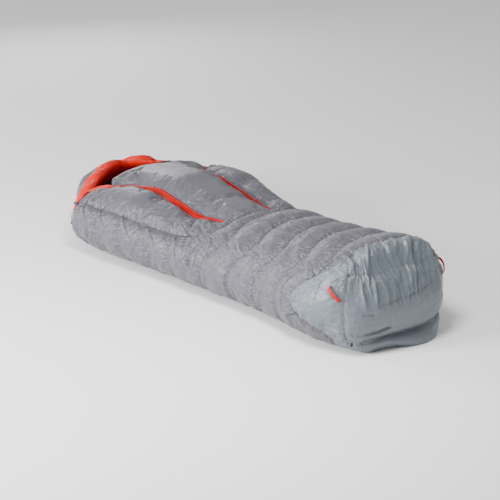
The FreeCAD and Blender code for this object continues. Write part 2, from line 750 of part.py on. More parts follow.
def tube(points, radius):
    """A round cord along the points."""
    wire = tube_path(points)
    start = V(points[1] - points[0]).normalize()
    profile = Part.Wire(Part.makeCircle(radius, points[0], start))
    body = wire.makePipeShell([profile], True, True)
    print("cord length", round(wire.Length, 1), "volume share",
          round(body.Volume / (math.pi * radius ** 2 * wire.Length), 3))
    return body


def hood_cord():
    """The drawcord's free end on the right of the hood, its eyelet, lock and end."""
    points = [V(*p) for p in CORD_ROUTE]
    save("hood_cord", tube(points, CORD_RADIUS))
    first = V(points[1] - points[0]).normalize()
    eyelet = Part.makeCylinder(4.5, 1.6, points[0] - first * 0.8, first)
    eyelet = eyelet.cut(Part.makeCylinder(CORD_RADIUS + 0.1, 4, points[0] - first * 2, first))
    save("hood_eyelet", eyelet)
    last = V(points[-1] - points[-2]).normalize()
    save("hood_cord_end", Part.makeCylinder(2.6, 9, points[-1], last))
    cord_lock(points[LOCK_RUN], points[LOCK_RUN + 1])


def cord_lock(start, end):
    """A spring cord lock threaded on the straight run between two points."""
    along = V(end - start).normalize()
    middle = (start + end) * 0.5
    level = 2.0
    barrel = Part.makeCylinder(LOCK_RADIUS, 20, V(0, 0, -10))
    barrel = barrel.cut(Part.makeCylinder(LOCK_BORE, 20, V(0, 0, -8)))
    hole = Part.makeCylinder(CORD_RADIUS + 0.4, 40, V(-20, 0, level), V(1, 0, 0))
    barrel = barrel.cut(hole)
    plunger = Part.makeCylinder(LOCK_BORE - 0.25, 17, V(0, 0, -3))
    reach = CORD_RADIUS + 0.3
    plunger = plunger.cut(box((-20, -reach, level - reach),
                              (20, reach, level + reach + LOCK_TRAVEL + 0.2)))
    spring = Part.makeCylinder(LOCK_BORE - 0.4, 1.7, V(0, 0, -7.9))
    spring = spring.cut(Part.makeCylinder(LOCK_BORE - 1.4, 6, V(0, 0, -8.2)))
    origin = middle - LOCK_OUT * level
    names = ("cord_lock_barrel", "cord_lock_plunger", "cord_lock_spring")
    for name, solid in zip(names, seat([barrel, plunger, spring], origin, along, LOCK_OUT)):
        save(name, solid)
    print("lock slide axis", [round(-c, 6) for c in
                              (LOCK_OUT - along * LOCK_OUT.dot(along)).normalize()])


def main():
    for step in (chest_and_legs, side_walls, underside, footbox, hood, side_zip, draft_collar,
                 chest_patch, foot_loops, hood_cord):
        step()
    gill(1, "left")
    gill(-1, "right")
    export()


if __name__ == "__main__":
    main()
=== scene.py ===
import json
import math

import bmesh
import bpy
import numpy as np
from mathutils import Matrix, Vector
from mathutils.bvhtree import BVHTree


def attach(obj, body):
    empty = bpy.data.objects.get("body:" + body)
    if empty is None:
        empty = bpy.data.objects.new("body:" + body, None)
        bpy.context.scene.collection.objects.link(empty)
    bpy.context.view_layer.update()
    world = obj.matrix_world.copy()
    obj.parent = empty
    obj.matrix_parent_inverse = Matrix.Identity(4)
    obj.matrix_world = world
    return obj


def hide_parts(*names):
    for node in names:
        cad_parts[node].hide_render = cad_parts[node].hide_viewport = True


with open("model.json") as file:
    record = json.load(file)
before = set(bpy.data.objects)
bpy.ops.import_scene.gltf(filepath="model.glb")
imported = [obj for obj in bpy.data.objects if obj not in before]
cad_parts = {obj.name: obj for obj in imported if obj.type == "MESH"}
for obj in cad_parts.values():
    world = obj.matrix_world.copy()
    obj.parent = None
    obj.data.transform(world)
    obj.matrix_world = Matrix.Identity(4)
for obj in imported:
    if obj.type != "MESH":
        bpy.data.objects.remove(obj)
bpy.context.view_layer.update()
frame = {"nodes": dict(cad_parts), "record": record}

bl_info = {
    "name": "Mummy Sleeping Bag",
    "version": (1, 0, 0),
    "blender": (4, 5, 0),
    "location": "View3D > Sidebar > Sleeping Bag",
    "description": "Shell, hood, footbox, zips and trim of a lofted mummy sleeping bag",
    "category": "Add Mesh",
}

BAG = "bag"                     # the body that carries all but sliders, pullers and plunger

# ---- the bag's body surface, in metres, as the frame's panels follow it ----
LENGTH = 2.08
TOP_POWER = 2.4
SIDE_LEVEL = 0.445
FLAT_SHARE = 0.5
SECTIONS = [
    (0.00, .195, .227), (0.04, .269, .405), (0.12, .316, .372), (0.25, .302, .337),
    (0.40, .329, .300), (0.55, .367, .273), (0.595, .384, .287), (0.64, .402, .300),
    (0.68, .420, .312), (0.80, .438, .292), (0.87, .335, .290), (0.92, .262, .278),
    (0.96, .213, .250), (0.985, .160, .200), (1.00, .082, .115),
]
GILL_LINE = [(-.060, .132), (.017, .137), (.085, .152), (.190, .155), (.290, .1577),
             (.400, .1605), (.460, .168), (.549, .190), (.606, .240)]
GILL_DEPTH = .008
GILL_SPREAD = .028
GILL_EDGE = .014
GILL_SPAN = (-.058, .600)
FOOT_SEAM = (-.908, .178, 6.0, 52.0)    # level y, rise, angle of the peak, span of the rise
FOOT_END = -1.005
LEG_SEAM = -.064
NECK_SEAM = .660
HOOD_END = 1.015
CHEST_EDGE = [(0, .660), (35, .660), (42, .666), (50, .640), (56, .614), (62, .668),
              (68, .714), (79, .740), (90, .757)]
RIM = (.363, .672, .958, 1.35)          # half-width, start, back, power
SIDE_SEAM = 35.0
ZIP_LINE = ((-.520, .300, .146), (.540, .432, .138))


def smooth(knots):
    """A monotone cubic through (position, value) knots, as a function of an array."""
    xs, vs = np.array(knots, float).T
    step = np.diff(xs)
    rise = np.diff(vs) / step
    slope = np.concatenate([rise[:1], np.zeros(len(xs) - 2), rise[-1:]])
    same = rise[:-1] * rise[1:] > 0
    slope[1:-1][same] = (2 * rise[:-1] * rise[1:])[same] / (rise[:-1] + rise[1:])[same]

    def value(x):
        x = np.clip(x, xs[0], xs[-1])
        i = np.clip(np.searchsorted(xs, x, side="right") - 1, 0, len(step) - 1)
        t = (x - xs[i]) / step[i]
        return (vs[i] * (1 + 2 * t) * (1 - t) ** 2 + slope[i] * step[i] * t * (1 - t) ** 2
                + vs[i + 1] * t * t * (3 - 2 * t) + slope[i + 1] * step[i] * t * t * (t - 1))
    return value


half_width = smooth([(share * LENGTH - LENGTH / 2, wide) for share, wide, high in SECTIONS])
height = smooth([(share * LENGTH - LENGTH / 2, high) for share, wide, high in SECTIONS])
gill_x = smooth(GILL_LINE)
chest_curve = smooth(CHEST_EDGE)


def ease(t):
    """A smooth step from 0 to 1 as t goes from 0 to 1."""
    t = np.clip(t, 0.0, 1.0)
    return t * t * (3 - 2 * t)


def unit(vectors):
    """Vectors scaled to length one along the last axis."""
    return vectors / np.maximum(np.linalg.norm(vectors, axis=-1, keepdims=True), 1e-9)


def bump_at(value, middle, spread, power=2):
    """A smooth hump of height one round a value."""
    return np.exp(-((value - middle) / spread) ** power)


def on_side(angle, sign):
    """The angle on the sleeper's left for sign 1, or its mirror image for sign -1."""
    return angle if sign > 0 else 180 - angle


def fold(angle):
    """The angle's mirror image on the right half of the section."""
    return np.where(angle > 90, 180 - angle, angle)


def zip_place(y):
    (y0, x0, z0), (y1, x1, z1) = ZIP_LINE
    t = (y - y0) / (y1 - y0)
    return x0 + t * (x1 - x0), z0 + t * (z1 - z0)


def outside(y, angle):
    """(x, z) on the outer surface."""
    wide, high = half_width(y), height(y)
    turn = np.radians(angle)
    c, s = np.cos(turn), np.sin(turn)
    level = SIDE_LEVEL * high
    reach = (np.abs(c) ** TOP_POWER + np.abs(s) ** TOP_POWER) ** (-1 / TOP_POWER)
    up = (angle >= 0) & (angle <= 180)
    side = np.where(c >= 0, 1, -1)
    x = np.where(up, wide * reach * c, side * FLAT_SHARE * wide + (1 - FLAT_SHARE) * wide * c)
    z = np.where(up, level + (high - level) * reach * s, level * (1 + s))
    ends = ease((y - GILL_SPAN[0] + .06) / .1) * ease((GILL_SPAN[1] + .06 - y) / .1)
    off = (np.abs(x) - gill_x(y)) / GILL_SPREAD
    z = z - np.where(up, GILL_DEPTH * ends * np.exp(-off * off) * np.maximum(s, 0), 0)
    pull = ease((y - ZIP_LINE[0][0] + .16) / .16) * ease((ZIP_LINE[1][0] + .09 - y) / .09)
    pull = pull * (1 - ease(np.abs(angle) / 60)) * (zip_place(y)[0] - wide)
    return x + np.where(np.abs(angle) <= 60, pull, 0), z


def place(y, angle, depth=0.0):
    """Points at a depth below the outer surface, square to the section."""
    y, angle = np.broadcast_arrays(np.asarray(y, float), np.asarray(angle, float))
    step = 0.4
    x, z = outside(y, angle)
    x0, z0 = outside(y, np.maximum(angle - step, -90))
    x1, z1 = outside(y, np.minimum(angle + step, 270))
    dx, dz = x1 - x0, z1 - z0
    edge = (angle < -89.6) | (angle > 269.6)
    dx, dz = np.where(edge, 1.0, dx), np.where(edge, 0.0, dz)
    span = np.hypot(dx, dz)
    return np.stack([x - depth * dz / span, y + 0 * x, z + depth * dx / span], -1)


def angle_at(y, x):
    """The angle of the upper surface's place at x."""
    share = np.clip(x / half_width(y), -1, 1)
    return np.degrees(np.arctan2((1 - np.abs(share) ** TOP_POWER) ** (1 / TOP_POWER), share))


def foot_seam(angle):
    level, rise, peak, span = FOOT_SEAM
    return level + rise * (1 - ease(np.abs(fold(angle) - peak) / span))


def rim_x(y):
    wide, start, back, power = RIM
    return wide * (1 - np.clip((y - start) / (back - start), 0, 1) ** power)


def rim_angle(y):
    return angle_at(y, rim_x(y))


def zip_angle(y):
    middle = SIDE_LEVEL * height(y)
    level = zip_place(np.clip(y, ZIP_LINE[0][0] - .1, ZIP_LINE[1][0] + .06))[1]
    above = np.clip((level - middle) / (height(y) - middle), 0, 0.9)
    below = np.clip((middle - level) / middle, 0, 0.9)
    upper = np.degrees(np.arctan2(above, (1 - above ** TOP_POWER) ** (1 / TOP_POWER)))
    return np.where(level > middle, upper, -np.degrees(np.arcsin(below)))


# ---- repeatable noise ----
def noise(u, v, seed):
    """Smooth value noise from 0 to 1 on a lattice of unit cells."""
    table = np.random.RandomState(seed).rand(256, 256)
    iu, iv = np.floor(u).astype(int), np.floor(v).astype(int)
    fu, fv = u - iu, v - iv
    fu, fv = fu * fu * fu * (fu * (6 * fu - 15) + 10), fv * fv * fv * (fv * (6 * fv - 15) + 10)
    a, b = table[iu % 256, iv % 256], table[(iu + 1) % 256, iv % 256]
    c, d = table[iu % 256, (iv + 1) % 256], table[(iu + 1) % 256, (iv + 1) % 256]
    return (a * (1 - fu) + b * fu) * (1 - fv) + (c * (1 - fu) + d * fu) * fv


def ridges(u, v, seed):
    """Sharp-crested folds from 0 to 1, long in v and narrow in u."""
    bend = noise(u * 0.35, v * 0.6, seed + 7) * 2.2
    one = 1 - np.abs(2 * noise(u + bend, v, seed) - 1)
    two = 1 - np.abs(2 * noise(u * 2.1 + bend, v * 1.4, seed + 3) - 1)
    return one ** 2 * 0.7 + two ** 2 * 0.3


# ---- seams and creases ----
BAFFLE_BEND = [(-80, .04), (-30, .06), (20, .07), (50, .05), (70, .02), (90, 0), (110, -.04),
               (129, -.09), (142, -.075), (160, -.03), (185, -.01), (262, 0)]
BAFFLES = [-.146, -.310, -.466, -.617, -.765]
SIDE_BAFFLES = [.020, .170, .320, .470, .600]
LOBE_SEAM = [(.60, 33), (.37, 32), (.25, 34), (.129, 36.5), (.028, 39), (-.031, 43),
             (-.061, 56), (-.075, 62)]
SPREAD = .26                    # how far from a crease its effect is worked out
LOFT = (.0055, .0035)           # the shell's swell between seams, and how much less it is low down
CROWN_FOLDS = (.0220, .0100)    # heights of the footbox crown's broad and fine folds
END_LOFT = .024
LOW_ROLL = .030                 # the roll along the bottom of the foot end
ZIP_SINK = .005                 # how far the shell sinks beside the side zip
GILL_BED = .017                 # half-width of the bed that a gill's stripe lies on
COIL_FLAT = .006                # half-width of the flat left for the gill's slider


def surface_line(points, count=70):
    """Places on the outer surface along (y, angle) points."""
    y, a = np.array(points, float).T
    along = np.linspace(0, len(y) - 1, count)
    index = np.arange(len(y))
    return place(np.interp(along, index, y), np.interp(along, index, a))


def space_line(points, count=60):
    """Places along (x, y, z) points."""
    spots = np.array(points, float)
    along = np.linspace(0, len(spots) - 1, count)
    return np.stack([np.interp(along, np.arange(len(spots)), spots[:, k]) for k in range(3)], -1)


def mirrored(points):
    """The same (y, angle) points on the other side."""
    return [(y, 180 - a) for y, a in points]


def body_creases():
    """(places, depth, half-width, pucker height, sewn) of the body's lines."""
    lines = []
    for y in BAFFLES:
        lines.append((surface_line([(y + dy, a) for a, dy in BAFFLE_BEND]), .0042, .011, .0058, 1))
    for y in SIDE_BAFFLES:
        lines.append((surface_line([(y + .03, 148), (y + .012, 168), (y, 200), (y, 255)]),
                      .0016, .009, .0062, 1))
        lines.append((surface_line([(y, 25), (y, 8), (y, -30), (y, -75)]),
                      .0020, .009, .0050, 1))
    lines.append((surface_line(mirrored(LOBE_SEAM)), .0085, .013, .0060, 1))
    lines.append((surface_line(LOBE_SEAM), .0085, .013, .0050, 1))
    lines.append((surface_line([(-.094, 20), (-.084, 60), (-.076, 75), (-.074, 90), (-.094, 105),
                                (-.118, 120), (-.11, 138), (-.097, 156), (-.09, 180)]),
                  .0075, .012, .0060, 1))
    lines.append((surface_line([(.06, 118), (.01, 132), (-.03, 147), (-.05, 160)]),
                  .0060, .011, .0050, 1))
    for sign in (1, -1):
        y = np.linspace(GILL_SPAN[0], .61, 60)
        a = angle_at(y, gill_x(y))
        lines.append((place(y, on_side(a, sign)), 0.0, .010, .0034, 1))
    return lines


def foot_creases():
    """The same for the footbox and its end."""
    around = np.linspace(-85, 265, 70)
    corner = [(-.950, 134), (-.972, 141), (-.984, 155), (-.988, 180), (-.986, 200), (-.98, 224)]
    cross = [(-.925, 152), (-.950, 147), (-.972, 141), (-.990, 131), (-1.0, 122)]
    lines = [(surface_line([(float(foot_seam(a)), a) for a in around]), .0065, .009, .0060, 1)]
    for line, depth, pucker in ((corner, .0045, .0040), (cross, .0040, .0035)):
        lines.append((surface_line(line), depth, .0050, pucker, 1))
        lines.append((surface_line(mirrored(line)), depth, .0050, pucker, 1))
    low_fold = [(-.247, -1.000, .052), (-.20, -1.025, .050), (-.10, -1.036, .055),
                (0, -1.038, .062), (.10, -1.036, .073), (.18, -1.027, .090),
                (.232, -1.002, .112), (.262, -.955, .130)]
    second = [(-.276, -.900, .118), (-.262, -.965, .104), (-.243, -1.004, .096),
              (-.19, -1.028, .091), (-.12, -1.036, .095), (-.07, -1.038, .103)]
    third = [(-.268, -.930, .182), (-.250, -.995, .178), (-.20, -1.026, .172),
             (-.15, -1.034, .174)]
    side = [(-.300, -.760, .205), (-.285, -.86, .215), (-.27, -.93, .214)]
    under = [(-.292, -.800, .128), (-.276, -.880, .096), (-.262, -.955, .066)]
    brow = [(-.12, -1.037, .205), (-.04, -1.038, .214), (.05, -1.038, .222), (.13, -1.034, .236)]
    for line, *sizes in ((low_fold, .026, .011, .0030, 0), (second, .0115, .007, .002, 0),
                         (third, .0065, .006, .0015, 0), (side, .0030, .007, .001, 0),
                         (under, .0050, .010, .001, 0), (brow, .0035, .008, .0050, 1)):
        lines.append((space_line(line), *sizes))
    return lines


def nearest(points, spots):
    """Distance to a line and length along it, for each point near it."""
    reach = np.concatenate([[0], np.cumsum(np.linalg.norm(np.diff(spots, axis=0), axis=1))])
    best, along = np.full(len(points), 1e9), np.zeros(len(points))
    for k in range(len(spots) - 1):
        a, ab = spots[k], spots[k + 1] - spots[k]
        away = points - a
        t = np.clip((away @ ab) / max(ab @ ab, 1e-12), 0, 1)
        gap = np.sum((away - t[:, None] * ab) ** 2, 1)
        closer = gap < best
        best[closer] = gap[closer]
        along[closer] = (reach[k] + t * (reach[k + 1] - reach[k]))[closer]
    return np.sqrt(best), along


# ---- the shell's grid ----
COLUMN_BLOCKS = (50, 24, 44, 6, 60, 6, 44, 74)
ROW_BLOCKS = (52, 168, 144, 72)
PANELS = {
    "leg_panel": [(1, range(2, 7))],
    "side_panel_left_lower": [(1, [0]), (2, [0])],
    "side_panel_left_upper": [(1, [1]), (2, [1])],
    "side_panel_right": [(1, [7]), (2, [7])],
    "chest_lobe_left": [(2, [2])],
    "gill_bed_left": [(2, [3])],
    "chest_panel": [(2, [4])],
    "gill_bed_right": [(2, [5])],
    "chest_lobe_right": [(2, [6])],
    "hood_panel_left": [(3, [0, 1])],
    "hood_panel_right": [(3, [7])],
}


def column_edges(y):
    """Angles of the lines between column blocks at y, as a list of arrays."""
    in_hood = y > NECK_SEAM
    rim = np.where(in_hood, rim_angle(y), SIDE_SEAM)
    neck_zip = zip_angle(np.minimum(y, NECK_SEAM))
    zip_at = np.where(in_hood, -90 + (neck_zip + 90) * (rim + 90) / (SIDE_SEAM + 90), neck_zip)
    gill = gill_x(y)
    outer, inner = angle_at(y, gill + GILL_EDGE), angle_at(y, gill - GILL_EDGE)
    left = [np.full_like(y, -90.0), zip_at, rim, outer, inner]
    return left + [180 - inner, 180 - outer, 180 - rim, np.full_like(y, 270.0)]


def row_edges(angle, top):
    """y of the lines between row blocks at an angle; top marks columns of the chest."""
    head = np.where(top, chest_curve(fold(angle)), NECK_SEAM)
    return [np.full_like(angle, FOOT_END), foot_seam(angle), np.full_like(angle, LEG_SEAM),
            head, np.full_like(angle, HOOD_END)]


def shell_grid():
    """(y, angle) at every grid node, by damped iteration between rows and columns."""
    rows, cols = sum(ROW_BLOCKS), sum(COLUMN_BLOCKS)
    row_at = np.concatenate([[0], np.cumsum(ROW_BLOCKS)])
    col_at = np.concatenate([[0], np.cumsum(COLUMN_BLOCKS)])
    i, j = np.meshgrid(np.arange(rows + 1), np.arange(cols + 1), indexing="ij")
    row_block = np.clip(np.searchsorted(row_at, i, side="right") - 1, 0, len(ROW_BLOCKS) - 1)
    col_block = np.clip(np.searchsorted(col_at, j, side="right") - 1, 0, len(COLUMN_BLOCKS) - 1)
    u = (i - row_at[row_block]) / np.array(ROW_BLOCKS)[row_block]
    v = (j - col_at[col_block]) / np.array(COLUMN_BLOCKS)[col_block]
    top = (j >= col_at[2]) & (j <= col_at[7])
    y = FOOT_END + (HOOD_END - FOOT_END) * i / rows
    for _ in range(40):
        lines = np.stack(column_edges(y))
        low = np.take_along_axis(lines, col_block[None], 0)[0]
        high = np.take_along_axis(lines, col_block[None] + 1, 0)[0]
        angle = low + v * (high - low)
        bounds = np.stack(row_edges(angle, top & (i < row_at[3] + 1)))
        low = np.take_along_axis(bounds, row_block[None], 0)[0]
        high = np.take_along_axis(bounds, row_block[None] + 1, 0)[0]
        y = 0.5 * (y + low + u * (high - low))
    return y, angle, row_at, col_at


def grid_normals(points):
    """Outward unit normals of a grid of points."""
    normal = unit(np.cross(np.gradient(points, axis=1), np.gradient(points, axis=0)))
    out = points - np.array([0, 0, MIDDLE_LEVEL])
    out[..., 1] = 0
    return normal * np.sign(np.sum(normal * out))


def gill_lean(y, x):
    """Rise of the gill's stripe, which leans off the middle lobe but lies flat by the coil."""
    slope = .34 * ease((y + .02) / .14) * ease((.60 - y) / .16) + .10
    off = np.clip(gill_x(y) - np.abs(x), -GILL_BED, GILL_BED)
    return slope * np.where(off > 0, np.maximum(off - COIL_FLAT, 0), off) - .0008


def puff(y, angle, x):
    """Broad loft between the seams: three lobes on the chest."""
    upper = ease((fold(angle) - 8) / 30)
    gill = gill_x(y)
    x = np.abs(x)
    centre = ease((gill - x) / .11) * ease((y - LEG_SEAM) / .18) * ease((.76 - y) / .12)
    seam_x = np.maximum(half_width(y) * .86, gill + .05)
    lobe = np.sin(np.pi * np.clip((x - gill) / (seam_x - gill), 0, 1)) ** 1.5
    lobe = lobe * ease((y - LEG_SEAM) / .12) * ease((.665 - y) / .16)
    flank = .006 * ease((y - LEG_SEAM) / .10) * ease((gill - x) / .012)
    return upper * np.where(x < gill, flank + .012 * centre, .009 * lobe)


def relief(spots, y, angle, foot):
    """Rise of the shell along its normal, with seam distance, place along it and hold."""
    x, z = spots[:, 0], spots[:, 2]
    total = np.where(foot, 0, puff(y, angle, x))
    seam, along = np.full(len(spots), .3), np.zeros(len(spots))
    held = np.zeros(len(spots))
    lines = body_creases() + foot_creases()
    first_foot = len(body_creases())
    for number, (line, depth, wide, pucker, sewn) in enumerate(lines):
        low, high = line.min(0) - SPREAD, line.max(0) + SPREAD
        mine = np.all((spots > low) & (spots < high), 1)
        if number > first_foot:
            mine &= foot
        elif number < first_foot:
            mine &= ~foot
        index = np.nonzero(mine)[0]
        gap, run = nearest(spots[index], line)
        rise = -depth * np.exp(-(gap / wide) ** 1.4)
        fan = np.exp(-gap / .040) * (1 - .55 * np.exp(-(gap / .005) ** 2))
        rise += pucker * fan * (ridges(run / .020, gap / .10 + number, 11 + number) - .35)
        total[index] += rise
        if sewn:
            closer = gap < seam[index]
            seam[index[closer]] = gap[closer]
            along[index[closer]] = run[closer] + number * 3.1
            held[index] = np.maximum(held[index], np.exp(-(gap / .005) ** 2))
    side = 1 - ease((z - .14) / .1)
    total += ~foot * (LOFT[0] - LOFT[1] * side) * (1 - np.exp(-seam / .034))
    slant = ridges((x + .35 * y) / .05, (y - .35 * x) / .15, 31)
    total += ~foot * (1 - side) * .0022 * (slant - .4)
    total += ~foot * side * .0036 * (ridges(y / .040 + .4 * z / .04, z / .16, 37) - .4)
    crossing, running = .97 * x - .24 * y, .24 * x + .97 * y + z
    bend = .018 * (noise(x / .09, (y + z) / .09, 41) - .5)
    crown = ease((z - .175) / .07) * foot * ease((-.80 - y - .2 * np.abs(x)) / .10 + .4)
    crown = crown * (1 - .8 * ease((np.abs(x) - .17) / .05))
    total += crown * CROWN_FOLDS[0] * (ridges((crossing + bend) / .046, running / .20, 43) - .38)
    total += crown * CROWN_FOLDS[1] * (ridges((crossing + bend) / .021, running / .11, 47) - .38)
    plain = foot * (1 - np.minimum(1, crown * 5))
    total += plain * .0028 * (ridges(z / .06, (y - x) / .2, 53) - .4)
    total += plain * .0020 * (ridges((z + y) / .03, (y - z) / .12, 59) - .4)
    end = foot * ease((-.985 - y) / .03)
    total += end * END_LOFT * bump_at(z, .170, .075) * np.maximum(0, 1 - (x / .26) ** 2)
    total += end * LOW_ROLL * bump_at(z, .030, .026) * bump_at(x, .09, .13)
    zip_z = zip_place(y)[1]
    by_zip = (x > 0) * bump_at(z, zip_z, .015, 4)
    by_zip *= ease((y + .56) / .03) * ease((.57 - y) / .03)
    total = total * (1 - by_zip) - ZIP_SINK * by_zip
    gap = np.abs(np.abs(x) - gill_x(y))
    by_gill = (1 - ease((gap - .017) / .030)) * (z > .2)
    by_gill *= ease((y - GILL_SPAN[0] + .020) / .02) * ease((.625 - y) / .02)
    total = total * (1 - by_gill) - .0012 * by_gill
    total += by_gill * gill_lean(y, x)
    by_gill = by_gill * (gap < .018)
    by_rim = ease((y - .655) / .03) * (1 - ease((np.abs(x) - rim_x(y) - .075) / .03)) * (z > .1)
    total = total * (1 - by_rim)
    settle = np.where(end > .5, ease(z / .010), ease(z / .05))
    total = total * settle * np.where(z < .002, 0, 1)
    return total, seam, along, np.max([held, by_gill, by_rim, by_zip], 0)


def settle_foot(spots):
    """Lets the far side of the foot end sink to the floor and its near front edge lift."""
    x, y, z = spots[..., 0], spots[..., 1], spots[..., 2]
    low = ease((.17 - z) / .15)
    sink = .15 * np.maximum(0, x + .02) * ease((-.86 - y) / .12)
    lift = .006 * np.exp(-((x + .11) / .07) ** 2) * ease((-.99 - y) / .03)
    spots[..., 2] = np.maximum(z + low * (lift - sink), .0006)


# ---- mesh building ----
MIDDLE_LEVEL = .13              # height of the line that outward faces look away from


def new_piece(name, verts, faces, body=BAG):
    """A mesh object at the origin, smooth shaded and riding on a body."""
    mesh = bpy.data.meshes.new(name)
    mesh.from_pydata([tuple(v) for v in verts], [], [tuple(f) for f in faces])
    mesh.validate()
    piece = bpy.data.objects.new(name, mesh)
    bpy.context.scene.collection.objects.link(piece)
    for polygon in mesh.polygons:
        polygon.use_smooth = True
    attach(piece, body)
    return piece


def point_value(piece, name, values):
    """Stores one number per vertex for the material."""
    layer = piece.data.attributes.new(name, "FLOAT", "POINT")
    layer.data.foreach_set("value", np.asarray(values, np.float32).ravel())


def lay_out(piece, uv):
    """Gives each face corner its vertex's place on the flat cloth, in metres."""
    layer = piece.data.uv_layers.new(name="cloth")
    corners = np.zeros(len(piece.data.loops), np.int32)
    piece.data.loops.foreach_get("vertex_index", corners)
    layer.data.foreach_set("uv", np.asarray(uv, np.float32)[corners].ravel())


def face_out(piece):
    """Turns every face to point away from the piece's middle line."""
    mesh = bmesh.new()
    mesh.from_mesh(piece.data)
    total = 0.0
    for face in mesh.faces:
        centre = face.calc_center_median()
        away = Vector((centre.x, 0, centre.z - MIDDLE_LEVEL))
        total += face.normal.dot(away.normalized()) * face.calc_area()
    mesh.free()
    if total < 0:
        flip(piece)


def flip(piece):
    """Turns every face over."""
    mesh = bmesh.new()
    mesh.from_mesh(piece.data)
    bmesh.ops.reverse_faces(mesh, faces=mesh.faces)
    mesh.to_mesh(piece.data)
    mesh.free()


def turned_in(piece, normals):
    """Whether most faces look against the given vertex normals."""
    total = 0.0
    for polygon in piece.data.polygons:
        total += Vector(normals[polygon.vertices[0]]).dot(polygon.normal)
    return total < 0


def apply_modifier(piece, modifier):
    """Applies a modifier to one piece alone."""
    for other in bpy.context.selected_objects:
        other.select_set(False)
    piece.select_set(True)
    bpy.context.view_layer.objects.active = piece
    bpy.ops.object.modifier_apply(modifier=modifier.name)


def thicken(piece, thickness, normals=None):
    """Gives a sheet its thickness, inwards, shaded by the given outward normals."""
    wall = piece.modifiers.new("wall", "SOLIDIFY")
    wall.thickness, wall.offset = thickness, -1.0
    wall.use_rim = True
    wall.use_quality_normals = True
    apply_modifier(piece, wall)
    if normals is not None:
        both = np.concatenate([normals, -normals])
        piece.data.normals_split_custom_set_from_vertices(both.tolist())


def block_faces(used, rows, cols):
    """Quads of the grid cells marked as used, and the grid nodes they need."""
    cells = np.argwhere(used)
    i, j = cells[:, 0], cells[:, 1]
    wide = cols + 1
    low, high = i * wide + j, (i + 1) * wide + j
    quads = np.stack([low, low + 1, high + 1, high], 1)
    nodes, packed = np.unique(quads, return_inverse=True)
    return nodes, packed.reshape(quads.shape)


def whole_grid(rows, cols):
    """Nodes and quads of a grid with every cell used."""
    return block_faces(np.ones((rows, cols), bool), rows, cols)


SHELL = {}                      # the worked-out shell: places, normals, seams, cloth layout
STRIP = 24                      # points across the flat bottom of the foot end
CAP_RINGS = 60
CAP_TIP = -1.038
CLOTH_FRAMES = 14
CLOTH_CAP = .009                # most that the cloth may move from the sculpted shape
CLOTH_FADE = 12                 # rows over which the movement dies out at the foot end


def foot_cap():
    """Rings that close the foot end, in from the shell's first row."""
    line = SHELL["base"][0]
    strip = np.linspace(line[-1], line[0], STRIP + 2)[1:-1]
    ring = np.concatenate([line, strip])
    centre = np.array([0, 0, ring[:, 2].max() * .47])
    share = 1 - (np.arange(1, CAP_RINGS + 1) / CAP_RINGS) ** 1.5
    rings = centre + (ring - centre)[None] * share[:, None, None]
    rings[..., 1] = FOOT_END + (CAP_TIP - FOOT_END) * (1 - share[:, None] ** 5)
    whole = np.concatenate([ring[None], rings])
    around = np.roll(whole, -1, 1) - np.roll(whole, 1, 1)
    normal = unit(np.cross(around, np.gradient(whole, axis=0)))
    normal *= -np.sign(normal[len(whole) // 2, 0, 1])
    normal[-1] = (0, -1, 0)
    first = np.concatenate([SHELL["normal"][0], np.tile([0, 0, -1.0], (STRIP, 1))])
    blend = np.clip(1 - np.arange(len(whole)) / 6, 0, 1)[:, None, None]
    normal = unit(normal * (1 - blend) + first[None] * blend)
    flat = whole.reshape(-1, 3)
    rise, seam, along, held = relief(flat, flat[:, 1], np.full(len(flat), 90.0),
                                     np.ones(len(flat), bool))
    rise = rise.reshape(whole.shape[:2])
    known = np.concatenate([SHELL["rise"][0], np.zeros(STRIP)])
    rise = rise + (known - rise[0])[None] * blend[..., 0]
    spots = whole + normal * rise[..., None]
    settle_foot(spots)
    drop = FOOT_END - (np.arange(len(whole)) / CAP_RINGS * .25)[:, None] + 0 * rise
    cloth = np.stack([whole[..., 0], drop], -1)
    SHELL["cap"] = {"spots": spots, "seam": seam.reshape(rise.shape),
                    "along": along.reshape(rise.shape), "held": held.reshape(rise.shape),
                    "cloth": cloth}


def sculpt_shell():
    """Works out the whole outer shell once: places, cloth layout and seam distances."""
    y, angle, row_at, col_at = shell_grid()
    base = place(y, angle)
    normal = grid_normals(base)
    foot = np.zeros(y.shape, bool)
    foot[:row_at[1]] = True
    rise, seam, along, held = relief(base.reshape(-1, 3), y.ravel(), angle.ravel(), foot.ravel())
    rise, shape = rise.reshape(y.shape), y.shape
    spots = base + normal * rise[..., None]
    settle_foot(spots)
    across = np.concatenate([np.zeros((len(y), 1)), np.cumsum(
        np.linalg.norm(np.diff(base, axis=1), axis=-1), 1)], 1)
    middle = across[:, [sum(COLUMN_BLOCKS) // 2]]
    SHELL.update(base=base, normal=normal, rise=rise, spots=spots, seam=seam.reshape(shape),
                 along=along.reshape(shape), held=held.reshape(shape),
                 cloth=np.stack([across - middle, y], -1), row_at=row_at, col_at=col_at)
    foot_cap()


